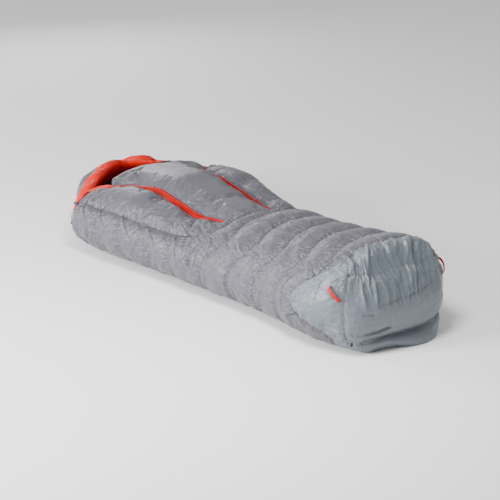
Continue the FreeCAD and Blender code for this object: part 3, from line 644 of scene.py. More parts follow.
def puff_with_cloth():
    """Lets the sewn shell swell and wrinkle as cloth on every second point, its seams held."""
    spots, held = SHELL["spots"][::2, ::2], SHELL["held"][::2, ::2]
    rows, cols = spots.shape[0] - 1, spots.shape[1] - 1
    used = used_cells([(b, c) for name in PANELS for b, c in PANELS[name]] + [(0, range(8))])
    nodes, quads = block_faces(used[::2, ::2], rows, cols)
    start = spots.reshape(-1, 3)[nodes]
    piece = new_piece("cloth_form", start, quads)
    face_out(piece)
    weight = held.reshape(-1)[nodes]
    weight = np.where(np.bincount(quads.ravel(), minlength=len(nodes)) < 4, 1.0, weight)
    weight = np.where(start[:, 2] < .02, 1.0, weight)
    pins = piece.vertex_groups.new(name="held")
    pins.add([int(k) for k in np.nonzero(weight > .3)[0]], 1.0, "REPLACE")
    cloth = piece.modifiers.new("cloth", "CLOTH")
    setting = cloth.settings
    setting.quality = 4
    setting.mass = .15
    setting.tension_stiffness = setting.compression_stiffness = 12
    setting.shear_stiffness = 4
    setting.bending_stiffness = .05
    setting.air_damping = 4
    setting.vertex_group_mass = "held"
    setting.use_pressure = True
    setting.uniform_pressure_force = 1.0
    setting.shrink_min = setting.shrink_max = -.035
    setting.effector_weights.gravity = 0
    cloth.collision_settings.use_collision = False
    cloth.point_cache.frame_start, cloth.point_cache.frame_end = 1, CLOTH_FRAMES
    for number in range(1, CLOTH_FRAMES + 1):
        bpy.context.scene.frame_set(number)
    shaped = piece.evaluated_get(bpy.context.evaluated_depsgraph_get()).data
    moved = np.zeros(len(shaped.vertices) * 3)
    shaped.vertices.foreach_get("co", moved)
    moved = moved.reshape(-1, 3) - start
    length = np.linalg.norm(moved, axis=1, keepdims=True)
    moved *= np.minimum(1, CLOTH_CAP / np.maximum(length, 1e-9))
    coarse = np.zeros(spots.shape).reshape(-1, 3)
    coarse[nodes] = moved
    coarse = coarse.reshape(spots.shape)
    fine = np.zeros(SHELL["spots"].shape)
    fine[::2, ::2] = coarse
    fine[1::2, ::2] = (coarse[:-1] + coarse[1:]) / 2
    fine[:, 1::2] = (fine[:, :-1:2] + fine[:, 2::2]) / 2
    fade = np.ones(len(fine))
    fade[:CLOTH_FADE + 1] = np.arange(CLOTH_FADE + 1) / CLOTH_FADE
    SHELL["spots"] += fine * fade[:, None, None]
    bpy.data.objects.remove(piece)
    bpy.context.scene.frame_set(1)


def used_cells(blocks):
    """Grid cells in (row block, column blocks) pairs."""
    used = np.zeros((sum(ROW_BLOCKS), sum(COLUMN_BLOCKS)), bool)
    row_at, col_at = SHELL["row_at"], SHELL["col_at"]
    for row_block, columns in blocks:
        for column in columns:
            used[row_at[row_block]:row_at[row_block + 1], col_at[column]:col_at[column + 1]] = True
    return used


# ---- materials ----
def node(tree, kind, **values):
    """A shader node with its properties and input defaults set."""
    made = tree.nodes.new(kind)
    for key, value in values.items():
        if key.startswith("in_"):
            made.inputs[key[3:].replace("_", " ")].default_value = value
        else:
            setattr(made, key, value)
    return made


def group(name, inputs, outputs):
    """An empty node group with float inputs {name: default} and outputs {name: kind}."""
    tree = bpy.data.node_groups.new(name, "ShaderNodeTree")
    for key, (kind, default) in inputs.items():
        socket = tree.interface.new_socket(key, in_out="INPUT", socket_type="NodeSocket" + kind)
        if default is not None:
            socket.default_value = default
    for key, kind in outputs.items():
        tree.interface.new_socket(key, in_out="OUTPUT", socket_type="NodeSocket" + kind)
    return tree, tree.nodes.new("NodeGroupInput"), tree.nodes.new("NodeGroupOutput")


def math_node(tree, operation, a, b=None, c=None, clamp=False):
    """A Math node fed by numbers or sockets; gives its output."""
    made = node(tree, "ShaderNodeMath", operation=operation, use_clamp=clamp)
    for slot_number, value in enumerate((a, b, c)):
        if value is None:
            continue
        if isinstance(value, (int, float)):
            made.inputs[slot_number].default_value = value
        else:
            tree.links.new(value, made.inputs[slot_number])
    return made.outputs[0]


def weave_group():
    """Woven cloth: height of the threads and a ripstop grid, from a place in metres."""
    tree, source, sink = group("weave", {"Place": ("Vector", None), "Thread": ("Float", .0004),
                                         "Ripstop": ("Float", .005), "Grid": ("Float", .5)},
                               {"Height": "Float", "Tint": "Float"})
    split = node(tree, "ShaderNodeSeparateXYZ")
    tree.links.new(source.outputs["Place"], split.inputs[0])
    waves = []
    for axis in ("X", "Y"):
        turn = math_node(tree, "DIVIDE", split.outputs[axis], source.outputs["Thread"])
        waves.append(math_node(tree, "SINE", math_node(tree, "MULTIPLY", turn, math.pi)))
    threads = math_node(tree, "ABSOLUTE", math_node(tree, "MULTIPLY", waves[0], waves[1]))
    bars = []
    for axis in ("X", "Y"):
        cell = math_node(tree, "DIVIDE", split.outputs[axis], source.outputs["Ripstop"])
        near = math_node(tree, "ABSOLUTE", math_node(tree, "SUBTRACT",
                                                     math_node(tree, "FRACT", cell), .5))
        bars.append(math_node(tree, "GREATER_THAN", near, .44))
    grid = math_node(tree, "MAXIMUM", bars[0], bars[1])
    grid = math_node(tree, "MULTIPLY", grid, source.outputs["Grid"])
    tree.links.new(math_node(tree, "ADD", threads, grid), sink.inputs["Height"])
    tree.links.new(grid, sink.inputs["Tint"])
    return tree


def crinkle_group():
    """Fine creases of thin coated cloth: height, and a mottle for the colour."""
    tree, source, sink = group("crinkle", {"Place": ("Vector", None), "Size": ("Float", .03),
                                           "Stretch": ("Float", 3.0)},
                               {"Height": "Float", "Mottle": "Float"})
    mapping = node(tree, "ShaderNodeMapping")
    tree.links.new(source.outputs["Place"], mapping.inputs["Vector"])
    combine = node(tree, "ShaderNodeCombineXYZ", in_Z=1.0)
    tree.links.new(source.outputs["Stretch"], combine.inputs["X"])
    combine.inputs["Y"].default_value = 1.0
    tree.links.new(combine.outputs[0], mapping.inputs["Scale"])
    scale = math_node(tree, "DIVIDE", 1.0, source.outputs["Size"])
    folds = node(tree, "ShaderNodeTexNoise", in_Detail=4.0, in_Roughness=.55, in_Distortion=.8)
    tree.links.new(mapping.outputs[0], folds.inputs["Vector"])
    tree.links.new(scale, folds.inputs["Scale"])
    crest = math_node(tree, "ABSOLUTE", math_node(tree, "SUBTRACT", folds.outputs["Fac"], .5))
    height = math_node(tree, "SUBTRACT", 1.0, math_node(tree, "MULTIPLY", crest, 4.0))
    tree.links.new(height, sink.inputs["Height"])
    broad = node(tree, "ShaderNodeTexNoise", in_Scale=9.0, in_Detail=2.0)
    tree.links.new(source.outputs["Place"], broad.inputs["Vector"])
    tree.links.new(broad.outputs["Fac"], sink.inputs["Mottle"])
    return tree


def seam_group():
    """A sewn line from the stored seam values: stitches, a pressed edge, puckers and shade."""
    tree, source, sink = group("seam", {"Distance": ("Float", 1.0), "Along": ("Float", 0.0),
                                        "Pitch": ("Float", .0032), "Pucker": ("Float", .011)},
                               {"Height": "Float", "Shade": "Float", "Fold": "Float"})
    near = math_node(tree, "SUBTRACT", 1.0, math_node(tree, "DIVIDE", source.outputs["Distance"],
                                                      .0040), clamp=True)
    beat = math_node(tree, "DIVIDE", source.outputs["Along"], source.outputs["Pitch"])
    stitch = math_node(tree, "GREATER_THAN", math_node(tree, "FRACT", beat), .35)
    line = math_node(tree, "LESS_THAN", source.outputs["Distance"], .0011)
    stitch = math_node(tree, "MULTIPLY", stitch, line)
    height = math_node(tree, "SUBTRACT", math_node(tree, "MULTIPLY", stitch, .8), near)
    tree.links.new(height, sink.inputs["Height"])
    soft = math_node(tree, "SUBTRACT", 1.0, math_node(tree, "DIVIDE", source.outputs["Distance"],
                                                      .012), clamp=True)
    tree.links.new(soft, sink.inputs["Shade"])
    spot = node(tree, "ShaderNodeCombineXYZ")
    tree.links.new(math_node(tree, "DIVIDE", source.outputs["Along"], source.outputs["Pucker"]),
                   spot.inputs["X"])
    tree.links.new(math_node(tree, "MULTIPLY", source.outputs["Distance"], 14.0),
                   spot.inputs["Y"])
    folds = node(tree, "ShaderNodeTexNoise", in_Scale=1.0, in_Detail=2.0, in_Distortion=.35)
    tree.links.new(spot.outputs[0], folds.inputs["Vector"])
    crest = math_node(tree, "ABSOLUTE", math_node(tree, "SUBTRACT", folds.outputs["Fac"], .5))
    crest = math_node(tree, "SUBTRACT", 1.0, math_node(tree, "MULTIPLY", crest, 5.0), clamp=True)
    fade = math_node(tree, "MULTIPLY", source.outputs["Distance"], -22.0)
    fade = math_node(tree, "EXPONENT", fade)
    tree.links.new(math_node(tree, "MULTIPLY", crest, fade), sink.inputs["Fold"])
    return tree


GROUPS = {}


def build_groups():
    """Makes the effects that several materials share."""
    GROUPS["weave"], GROUPS["crinkle"] = weave_group(), crinkle_group()
    GROUPS["seam"] = seam_group()


def place_group(tree, name, **values):
    """A shared effect placed in a material with its own values."""
    made = tree.nodes.new("ShaderNodeGroup")
    made.node_tree = GROUPS[name]
    for key, value in values.items():
        made.inputs[key].default_value = value
    return made


def tint_by(tree, shader, colour, level):
    """Sends a colour, made lighter and darker by a level, to the shader."""
    grey = node(tree, "ShaderNodeCombineColor")
    for channel in range(3):
        tree.links.new(level, grey.inputs[channel])
    tint = node(tree, "ShaderNodeMix", data_type="RGBA", blend_type="MULTIPLY")
    tint.inputs[0].default_value = 1.0
    tint.inputs[6].default_value = (*colour, 1)
    tree.links.new(grey.outputs[0], tint.inputs[7])
    tree.links.new(tint.outputs[2], shader.inputs["Base Color"])


def fabric(name, colour, roughness=.5, thread=.0006, ripstop=.006, grid=.5, crinkle=.03,
           stretch=2.5, crinkle_height=.0006, sheen=.2, sewn=True, uv=True, coat=0.0, mottle=.16,
           pucker=.0030, gloss=.5):
    """A woven cloth: threads, ripstop, crinkles, sewn lines and a soft sheen."""
    material = bpy.data.materials.new(name)
    material.use_nodes = True
    tree = material.node_tree
    shader = tree.nodes["Principled BSDF"]
    shader.inputs["Roughness"].default_value = roughness
    shader.inputs["Sheen Weight"].default_value = sheen
    shader.inputs["Sheen Roughness"].default_value = .4
    shader.inputs["Coat Roughness"].default_value = .3
    shader.inputs["Coat Weight"].default_value = coat
    shader.inputs["Specular IOR Level"].default_value = gloss
    source = tree.nodes.new("ShaderNodeTexCoord").outputs["Object"]
    if uv:
        source = node(tree, "ShaderNodeUVMap", uv_map="cloth").outputs["UV"]
    weave = place_group(tree, "weave", Thread=thread, Ripstop=ripstop, Grid=grid)
    folds = place_group(tree, "crinkle", Size=crinkle, Stretch=stretch)
    for made in (weave, folds):
        tree.links.new(source, made.inputs["Place"])
    height = math_node(tree, "MULTIPLY", folds.outputs["Height"], crinkle_height)
    height = math_node(tree, "MULTIPLY_ADD", weave.outputs["Height"], .00006, height)
    dark = None                 # the shade beside a sewn line
    if sewn:
        seam = place_group(tree, "seam")
        distance = node(tree, "ShaderNodeAttribute", attribute_name="seam")
        tree.links.new(distance.outputs["Fac"], seam.inputs["Distance"])
        along = node(tree, "ShaderNodeAttribute", attribute_name="along")
        tree.links.new(along.outputs["Fac"], seam.inputs["Along"])
        height = math_node(tree, "MULTIPLY_ADD", seam.outputs["Height"], .0007, height)
        height = math_node(tree, "MULTIPLY_ADD", seam.outputs["Fold"], pucker, height)
        dark = seam.outputs["Shade"]
    bump = node(tree, "ShaderNodeBump", in_Strength=1.0, in_Distance=1.0)
    tree.links.new(height, bump.inputs["Height"])
    tree.links.new(bump.outputs[0], shader.inputs["Normal"])
    level = math_node(tree, "MULTIPLY_ADD", folds.outputs["Mottle"], mottle, 1.0 - mottle / 2)
    level = math_node(tree, "MULTIPLY_ADD", weave.outputs["Tint"], -.05, level)
    if dark is not None:
        level = math_node(tree, "MULTIPLY_ADD", dark, -.09, level)
    tint_by(tree, shader, colour, level)
    rough = math_node(tree, "MULTIPLY_ADD", folds.outputs["Mottle"], .14, roughness - .07)
    tree.links.new(rough, shader.inputs["Roughness"])
    return material


def hard(name, colour, roughness=.4, metallic=0.0, grain=.0004):
    """A moulded or painted hard material with fine grain and worn tone."""
    material = bpy.data.materials.new(name)
    material.use_nodes = True
    tree = material.node_tree
    shader = tree.nodes["Principled BSDF"]
    shader.inputs["Metallic"].default_value = metallic
    folds = place_group(tree, "crinkle", Size=grain * 6, Stretch=1.0)
    source = tree.nodes.new("ShaderNodeTexCoord").outputs["Object"]
    tree.links.new(source, folds.inputs["Place"])
    bump = node(tree, "ShaderNodeBump", in_Strength=.5, in_Distance=1.0)
    tree.links.new(math_node(tree, "MULTIPLY", folds.outputs["Height"], .00004),
                   bump.inputs["Height"])
    tree.links.new(bump.outputs[0], shader.inputs["Normal"])
    level = math_node(tree, "MULTIPLY_ADD", folds.outputs["Mottle"], .3, .85)
    tint_by(tree, shader, colour, level)
    tree.links.new(math_node(tree, "MULTIPLY_ADD", folds.outputs["Mottle"], .2, roughness - .1),
                   shader.inputs["Roughness"])
    return material


# ---- properties ----
class BagColours(bpy.types.PropertyGroup):
    """Colours of the cloths and trim, as linear values."""
    shell: bpy.props.FloatVectorProperty(
        name="Shell", description="Satin nylon of the chest, legs, sides and hood",
        subtype="COLOR", default=(.088, .085, .105), min=0, max=1)
    footbox: bpy.props.FloatVectorProperty(
        name="Footbox", description="Coated nylon round the feet",
        subtype="COLOR", default=(.120, .140, .162), min=0, max=1)
    red: bpy.props.FloatVectorProperty(
        name="Red", description="Gills, tabs, hang loops and hood lining",
        subtype="COLOR", default=(.42, .002, .001), min=0, max=1)
    lining: bpy.props.FloatVectorProperty(
        name="Lining", description="Taffeta inside the body",
        subtype="COLOR", default=(.10, .10, .115), min=0, max=1)
    dark: bpy.props.FloatVectorProperty(
        name="Hardware", description="Zip sliders, cord lock and tag",
        subtype="COLOR", default=(.025, .025, .028), min=0, max=1)


class BagSizes(bpy.types.PropertyGroup):
    """Sizes of the soft details."""
    cloth: bpy.props.FloatProperty(
        name="Cloth", description="Drawn thickness of the shell cloth", unit="LENGTH",
        default=.0012, min=.0004, max=.004)
    hood_loft: bpy.props.FloatProperty(
        name="Hood loft", description="How far the hood's lining swells between seams",
        unit="LENGTH", default=.026, min=0, max=.04)
    simulate: bpy.props.BoolProperty(
        name="Simulate", description="Swell the shell as cloth before it is cut into panels",
        default=True)


def finishes():
    """All materials, by the record's slot names."""
    colours = bpy.context.scene.bag_colours
    shell, foot = tuple(colours.shell), tuple(colours.footbox)
    red, lining, dark = tuple(colours.red), tuple(colours.lining), tuple(colours.dark)
    return {
        "shell_nylon": fabric("shell_nylon", shell, .30, sheen=.03, crinkle=.075,
                              crinkle_height=.0011, stretch=1.6, pucker=.0040),
        "footbox_nylon": fabric("footbox_nylon", foot, .32, sheen=.03, crinkle=.08,
                                crinkle_height=.0012, stretch=1.4, pucker=.0026),
        "gill_red": fabric("gill_red", red, .55, crinkle=.02, crinkle_height=.0003, pucker=0.0,
                           sheen=0.0, gloss=.1),
        "lining_nylon": fabric("lining_nylon", lining, .6, sewn=False, uv=False),
        "hood_lining_red": fabric("hood_lining_red", (.62, .012, .003), .42, crinkle=.03,
                                  crinkle_height=.0008, sheen=0.0, gloss=.3),
        "filling": fabric("filling", (.8, .8, .78), .9, sewn=False, uv=False),
        "zip_tape_black": fabric("zip_tape_black", dark, .8, thread=.0008, grid=0, sewn=False,
                                 uv=False, crinkle_height=.0001),
        "zip_tape_red": fabric("zip_tape_red", red, .7, sheen=0.0, gloss=.1, thread=.0008,
                               grid=0, sewn=False, uv=False, crinkle_height=.0001),
        "coil_black": hard("coil_black", dark, .45),
        "coil_red": hard("coil_red", (.42, .012, .008), .45),
        "patch_nylon": fabric("patch_nylon", tuple(c * .4 for c in shell), .8, grid=0,
                              crinkle_height=.0002, pucker=0.0, sheen=0.0, gloss=.1),
        "slider_painted": hard("slider_painted", (.40, .006, .004), .35),
        "slider_metal": hard("slider_metal", (.05, .05, .054), .35, .6),
        "webbing_red": fabric("webbing_red", red, .6, sheen=0.0, gloss=.2, thread=.0016,
                              grid=0, sewn=False, uv=False, crinkle_height=.0001),
        "tag_black": fabric("tag_black", dark, .75, thread=.0008, grid=0, sewn=False, uv=False),
        "cord_red": fabric("cord_red", (.22, .03, .04), .7, thread=.0010, grid=0, sewn=False,
                           uv=False, crinkle_height=.00005),
        "lock_plastic": hard("lock_plastic", dark, .42),
        "cord_tip": hard("cord_tip", (.04, .04, .044), .5),
        "spring_steel": hard("spring_steel", (.6, .6, .6), .3, 1.0),
    }


MATERIALS = {}


def dress(piece, slot_name):
    """Gives a piece one material and no other."""
    piece.data.materials.clear()
    piece.data.materials.append(MATERIALS[slot_name])


# ---- operators ----
class BAG_OT_materials(bpy.types.Operator):
    """Builds the materials and gives each carried-over piece its own"""
    bl_idname = "bag.materials"
    bl_label = "Materials"

    def execute(self, context):
        build_groups()
        MATERIALS.update(finishes())
        for item in frame["record"]["subparts"]:
            dress(frame["nodes"][item["node"]], item["material_slot"])
        for name in ("gill_slider_left", "gill_slider_right", "gill_puller_left",
                     "gill_puller_right"):
            dress(frame["nodes"][name], "slider_painted")
        return {"FINISHED"}


REPLACED = {
    "leg_panel": ("leg_shell", "leg_fill"),
    "side_panel_left_lower": ("side_shell_left_lower", "side_fill_left_lower"),
    "side_panel_left_upper": ("side_shell_left_upper", "side_fill_left_upper"),
    "side_panel_right": ("side_shell_right", "side_fill_right"),
    "chest_lobe_left": ("chest_lobe_shell_left",),
    "chest_panel": ("chest_shell", "chest_fill"),
    "chest_lobe_right": ("chest_lobe_shell_right",),
    "hood_panel_left": ("hood_shell_left", "hood_fill_left"),
    "hood_panel_right": ("hood_shell_right", "hood_fill_right"),
}


def shell_piece(name, verts, quads, normals, seam, along, cloth, slot_name):
    """One panel of the shell, with its thickness, seam values and cloth layout."""
    piece = new_piece(name, verts, quads)
    point_value(piece, "seam", seam)
    point_value(piece, "along", along)
    lay_out(piece, cloth)
    if turned_in(piece, normals):
        flip(piece)
    thicken(piece, bpy.context.scene.bag_sizes.cloth, normals)
    dress(piece, slot_name)
    return piece


class BAG_OT_shell(bpy.types.Operator):
    """Makes the outer shell's panels: chest, lobes, legs, sides and hood"""
    bl_idname = "bag.shell"
    bl_label = "Outer shell"

    def execute(self, context):
        sculpt_shell()
        if context.scene.bag_sizes.simulate:
            puff_with_cloth()
        SHELL["face"] = grid_normals(SHELL["spots"])
        rows, cols = sum(ROW_BLOCKS), sum(COLUMN_BLOCKS)
        for name, blocks in PANELS.items():
            nodes, quads = block_faces(used_cells(blocks), rows, cols)
            piece = shell_piece(name, *(SHELL["spots"].reshape(-1, 3)[nodes], quads,
                                        SHELL["face"].reshape(-1, 3)[nodes],
                                        SHELL["seam"].reshape(-1)[nodes],
                                        SHELL["along"].reshape(-1)[nodes],
                                        SHELL["cloth"].reshape(-1, 2)[nodes]), "shell_nylon")
            if name in REPLACED:
                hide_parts(*REPLACED[name])
        return {"FINISHED"}


class BAG_OT_footbox(bpy.types.Operator):
    """Makes the footbox with its closed, folded end"""
    bl_idname = "bag.footbox"
    bl_label = "Footbox"

    def execute(self, context):
        rows, cols = ROW_BLOCKS[0], sum(COLUMN_BLOCKS)
        cap = SHELL["cap"]
        closed = unit(np.cross(np.roll(cap["spots"], -1, 1) - np.roll(cap["spots"], 1, 1),
                               np.gradient(cap["spots"], axis=0)))
        closed *= -np.sign(closed[CAP_RINGS // 2, :, 1].mean())
        closed[-1] = (0, -1, 0)
        SHELL["face"][0] = unit(closed[0, :cols + 1] + SHELL["face"][0])
        parts = {}
        for key, lead in (("spots", 3), ("seam", 1), ("along", 1), ("cloth", 2), ("face", 3)):
            inner = closed if key == "face" else cap[key]
            body = SHELL[key][:rows + 1].reshape(-1, lead)
            strip = inner[0, cols + 1:].reshape(-1, lead)
            rings = inner[1:CAP_RINGS].reshape(-1, lead)
            parts[key] = np.concatenate([body, strip, rings, inner[-1:, :1].reshape(-1, lead)])
        around = cols + 1 + STRIP
        first = (rows + 1) * (cols + 1)
        ring_at = [list(range(cols + 1)) + list(range(first, first + STRIP))]
        for k in range(CAP_RINGS - 1):
            start = first + STRIP + k * around
            ring_at.append(list(range(start, start + around)))
        faces = [(i * (cols + 1) + j, i * (cols + 1) + j + 1, (i + 1) * (cols + 1) + j + 1,
                  (i + 1) * (cols + 1) + j) for i in range(rows) for j in range(cols)]
        for inner, outer in zip(ring_at[1:], ring_at[:-1]):
            for j in range(around):
                n = (j + 1) % around
                faces.append((inner[j], inner[n], outer[n], outer[j]))
        tip = len(parts["spots"]) - 1
        faces += [(tip, ring_at[-1][(j + 1) % around], ring_at[-1][j]) for j in range(around)]
        piece = shell_piece("footbox_panel", parts["spots"], faces, parts["face"],
                            parts["seam"], parts["along"], parts["cloth"], "footbox_nylon")
        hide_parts("footbox_shell", "footbox_fill", "foot_end_shell", "foot_end_fill")
        return {"FINISHED"}


class BAG_OT_hood_back(bpy.types.Operator):
    """Closes the back of the hood with a domed panel"""
    bl_idname = "bag.hood_back"
    bl_label = "Hood back"

    def execute(self, context):
        last, col_at = SHELL["spots"][-1], SHELL["col_at"]
        ring = np.concatenate([last[:col_at[2] + 1], last[col_at[7]:],
                               np.linspace(last[-1], last[0], 20)[1:-1]])
        rings, around = 30, len(ring)
        centre = np.array([0, 0, ring[:, 2].max() * .48])
        share = 1 - (np.arange(rings) / rings) ** 1.4
        verts = centre + (ring - centre)[None] * share[:, None, None]
        verts[..., 1] = HOOD_END + .023 * (1 - share[:, None] ** 4)
        ripple = ridges(verts[..., 0] / .03, verts[..., 2] / .1, 71) - .4
        verts[..., 1] += .003 * ripple * (1 - share[:, None] ** 3)
        verts[..., 2] = np.maximum(verts[..., 2], .0006)
        verts = np.concatenate([verts.reshape(-1, 3), [[0, HOOD_END + .023, centre[2]]]])
        faces = [(k * around + j, k * around + (j + 1) % around,
                  (k + 1) * around + (j + 1) % around, (k + 1) * around + j)
                 for k in range(rings - 1) for j in range(around)]
        last_ring = (rings - 1) * around
        faces += [(last_ring + j, last_ring + (j + 1) % around, rings * around)
                  for j in range(around)]
        piece = new_piece("hood_back_panel", verts, faces)
        point_value(piece, "seam", np.append(np.repeat((1 - share) * .1, around), .1))
        point_value(piece, "along", np.append(np.tile(np.arange(around) * .006, rings), 0))
        lay_out(piece, verts[:, [0, 2]])
        if sum(f.normal.y * f.area for f in piece.data.polygons) < 0:
            flip(piece)
        thicken(piece, context.scene.bag_sizes.cloth)
        dress(piece, "shell_nylon")
        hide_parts("hood_back_shell", "hood_back_fill")
        return {"FINISHED"}


def ribbon(name, y, centre, half, lift, crown, sign, slot_name, thickness=.0006):
    """A strip of cloth laid along the surface at x = centre, on one side of the chest."""
    steps = np.linspace(-1, 1, 13)
    x = centre[:, None] + half[:, None] * steps[None]
    a = on_side(angle_at(y[:, None] + 0 * x, x), sign)
    lean = gill_lean(y[:, None], x) * (y[:, None] < .61)
    depth = -(lift + crown * (1 - steps[None] ** 2)) - lean
    spots = place(y[:, None] + 0 * x, a, depth)
    nodes, quads = whole_grid(len(y) - 1, len(steps) - 1)
    piece = new_piece(name, spots.reshape(-1, 3)[nodes], quads)
    edge = half[:, None] * (1 - np.abs(steps[None]))
    point_value(piece, "seam", np.abs(edge - .0016).reshape(-1)[nodes])
    point_value(piece, "along", (y[:, None] + 0 * x).reshape(-1)[nodes])
    lay_out(piece, np.stack([x, y[:, None] + 0 * x], -1).reshape(-1, 2)[nodes])
    face_out(piece)
    thicken(piece, thickness)
    dress(piece, slot_name)
    return piece


class BAG_OT_gills(bpy.types.Operator):
    """Makes the red stripe and the soft end tab of each gill"""
    bl_idname = "bag.gills"
    bl_label = "Gill stripes"

    def execute(self, context):
        for sign, side in ((1, "left"), (-1, "right")):
            y = np.linspace(.050, .604, 130)
            half = .0015 + .0118 * ease((y - .040) / .05) * (1 - ease((y - .40) / .21) * .80)
            stripe = ribbon("gill_stripe_" + side, y, gill_x(y), half, .0, .0002, sign,
                            "gill_red", .0005)
            y = np.linspace(.086, .400, 90)
            tape = ribbon("gill_zip_tape_" + side, y, gill_x(y), np.full_like(y, .0105), .0007,
                          .0002, sign, "zip_tape_red", .0006)
            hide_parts("gill_tape_" + side)
            y = np.linspace(-.062, .086, 40)
            tab = ribbon("gill_tab_" + side, y, gill_x(y), np.full_like(y, .0088), .0016, .0012,
                         sign, "gill_red", .0012)
            if sign > 0:
                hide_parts("gill_insets")
                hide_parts("gill_tabs")
            y = np.linspace(.596, .668 if sign > 0 else .704, 40)
            t = (y - y[0]) / (y[-1] - y[0])
            centre = gill_x(np.minimum(y, .606)) * (1 - t) + (.350 if sign > 0 else .325) * t
            wide, lift = (.014, -.012) if sign > 0 else (.024, .003)
            throat = ribbon("gill_throat_" + side, y, centre, .0012 + wide * np.sin(np.pi * t),
                            lift, .004, sign, "hood_lining_red", .0010)
        return {"FINISHED"}


PATCH = ((.062, .690), .062, .034)
LOOP_ENDS = ((-.926, 25.0), (-.976, 15.0))
LOOP_LIFT = .005
LOOP_STAND = .017
LOOP_HALF = .0070


class BAG_OT_patch(bpy.types.Operator):
    """Sews the plain oval patch on the chest"""
    bl_idname = "bag.patch"
    bl_label = "Chest patch"

    def execute(self, context):
        chest = bpy.data.objects["chest_panel"]
        tree = BVHTree.FromObject(chest, context.evaluated_depsgraph_get())
        (x0, y0), long, short = PATCH
        rings, around = 22, 72
        turn = np.linspace(0, 2 * np.pi, around, endpoint=False)
        share = np.linspace(0, 1, rings)[1:]
        verts, seam = [], []
        for s in np.append(0, share):
            border = math.exp(-((s - .86) / .075) ** 4)
            lift = .0008 + .0040 * border + .0004 * (s < .8)
            for t in (turn if s > 0 else turn[:1]):
                spot = Vector((x0 + long * s * math.cos(t), y0 + short * s * math.sin(t), 1))
                hit = tree.ray_cast(spot, Vector((0, 0, -1)))[0]
                level = hit.z if hit else .28
                verts.append((spot.x, spot.y, level + lift))
                seam.append(.3 if border < .3 else .004)
        faces = [(0, 1 + j, 1 + (j + 1) % around) for j in range(around)]
        for k in range(rings - 2):
            for j in range(around):
                n, start = (j + 1) % around, 1 + k * around
                faces.append((start + j, start + around + j, start + around + n, start + n))
        piece = new_piece("chest_patch_sewn", verts, faces)
        point_value(piece, "seam", seam)
        point_value(piece, "along", [math.atan2(v[1] - y0, v[0] - x0) * .05 for v in verts])
        lay_out(piece, np.array(verts)[:, :2])
        if sum(f.normal.z for f in piece.data.polygons) < 0:
            flip(piece)
        thicken(piece, .0008)
        dress(piece, "patch_nylon")
        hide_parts("chest_patch")
        return {"FINISHED"}


class BAG_OT_loops(bpy.types.Operator):
    """Makes the two webbing hang loops at the foot end"""
    bl_idname = "bag.loops"
    bl_label = "Hang loops"

    def execute(self, context):
        for sign, side in ((1, "left"), (-1, "right")):
            ends, normals = [], []
            for y, a in LOOP_ENDS:
                ends.append(place(y, on_side(a, sign), -LOOP_LIFT))
                normals.append(ends[-1] - place(y, on_side(a, sign), LOOP_LIFT))
            out = unit(normals[0] + normals[1])
            t = np.linspace(0, 1, 33)[:, None]
            middle = ends[0] + (ends[1] - ends[0]) * t
            middle = middle + out * LOOP_STAND * np.sin(np.pi * t) ** .6
            wide = unit(np.cross(ends[1] - ends[0], out))
            steps = np.linspace(-1, 1, 7)
            grid = middle[:, None] + wide * (LOOP_HALF * steps)[None, :, None]
            nodes, quads = whole_grid(len(t) - 1, len(steps) - 1)
            piece = new_piece("foot_hang_loop_" + side, grid.reshape(-1, 3), quads)
            flat = np.stack([0 * t + LOOP_HALF * steps, .06 * t + 0 * steps], -1)
            lay_out(piece, flat.reshape(-1, 2))
            if turned_in(piece, np.tile(out, (grid.size // 3, 1))):
                flip(piece)
            thicken(piece, .0016)
            dress(piece, "webbing_red")
            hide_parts("foot_loop_" + side)
        return {"FINISHED"}


HOOD_SEAMS = [.700, .775, .862, .945, 1.0]
ROLL_HIGH_FROM = .905           # the left side's roll stands proud only behind this y
ROLL_SINK = 1.6                 # and sinks below the shell's surface in front of it
ROLL_TUCK = .008
ROLL = ((1.0, -.001), (.82, -.010), (.62, -.0165), (.36, -.0200), (.06, -.0210),
        (-.26, -.0200), (-.58, -.0165), (-.84, -.0090), (-.95, .003), (-.85, .016),
        (-.55, .027), (-.10, .035), (.34, .040))     # (share of its reach, depth) across the rim
FLOOR_DEPTH = .024
PILLOW = (.120, .014)           # rise of the hood's floor, and its swell between seams


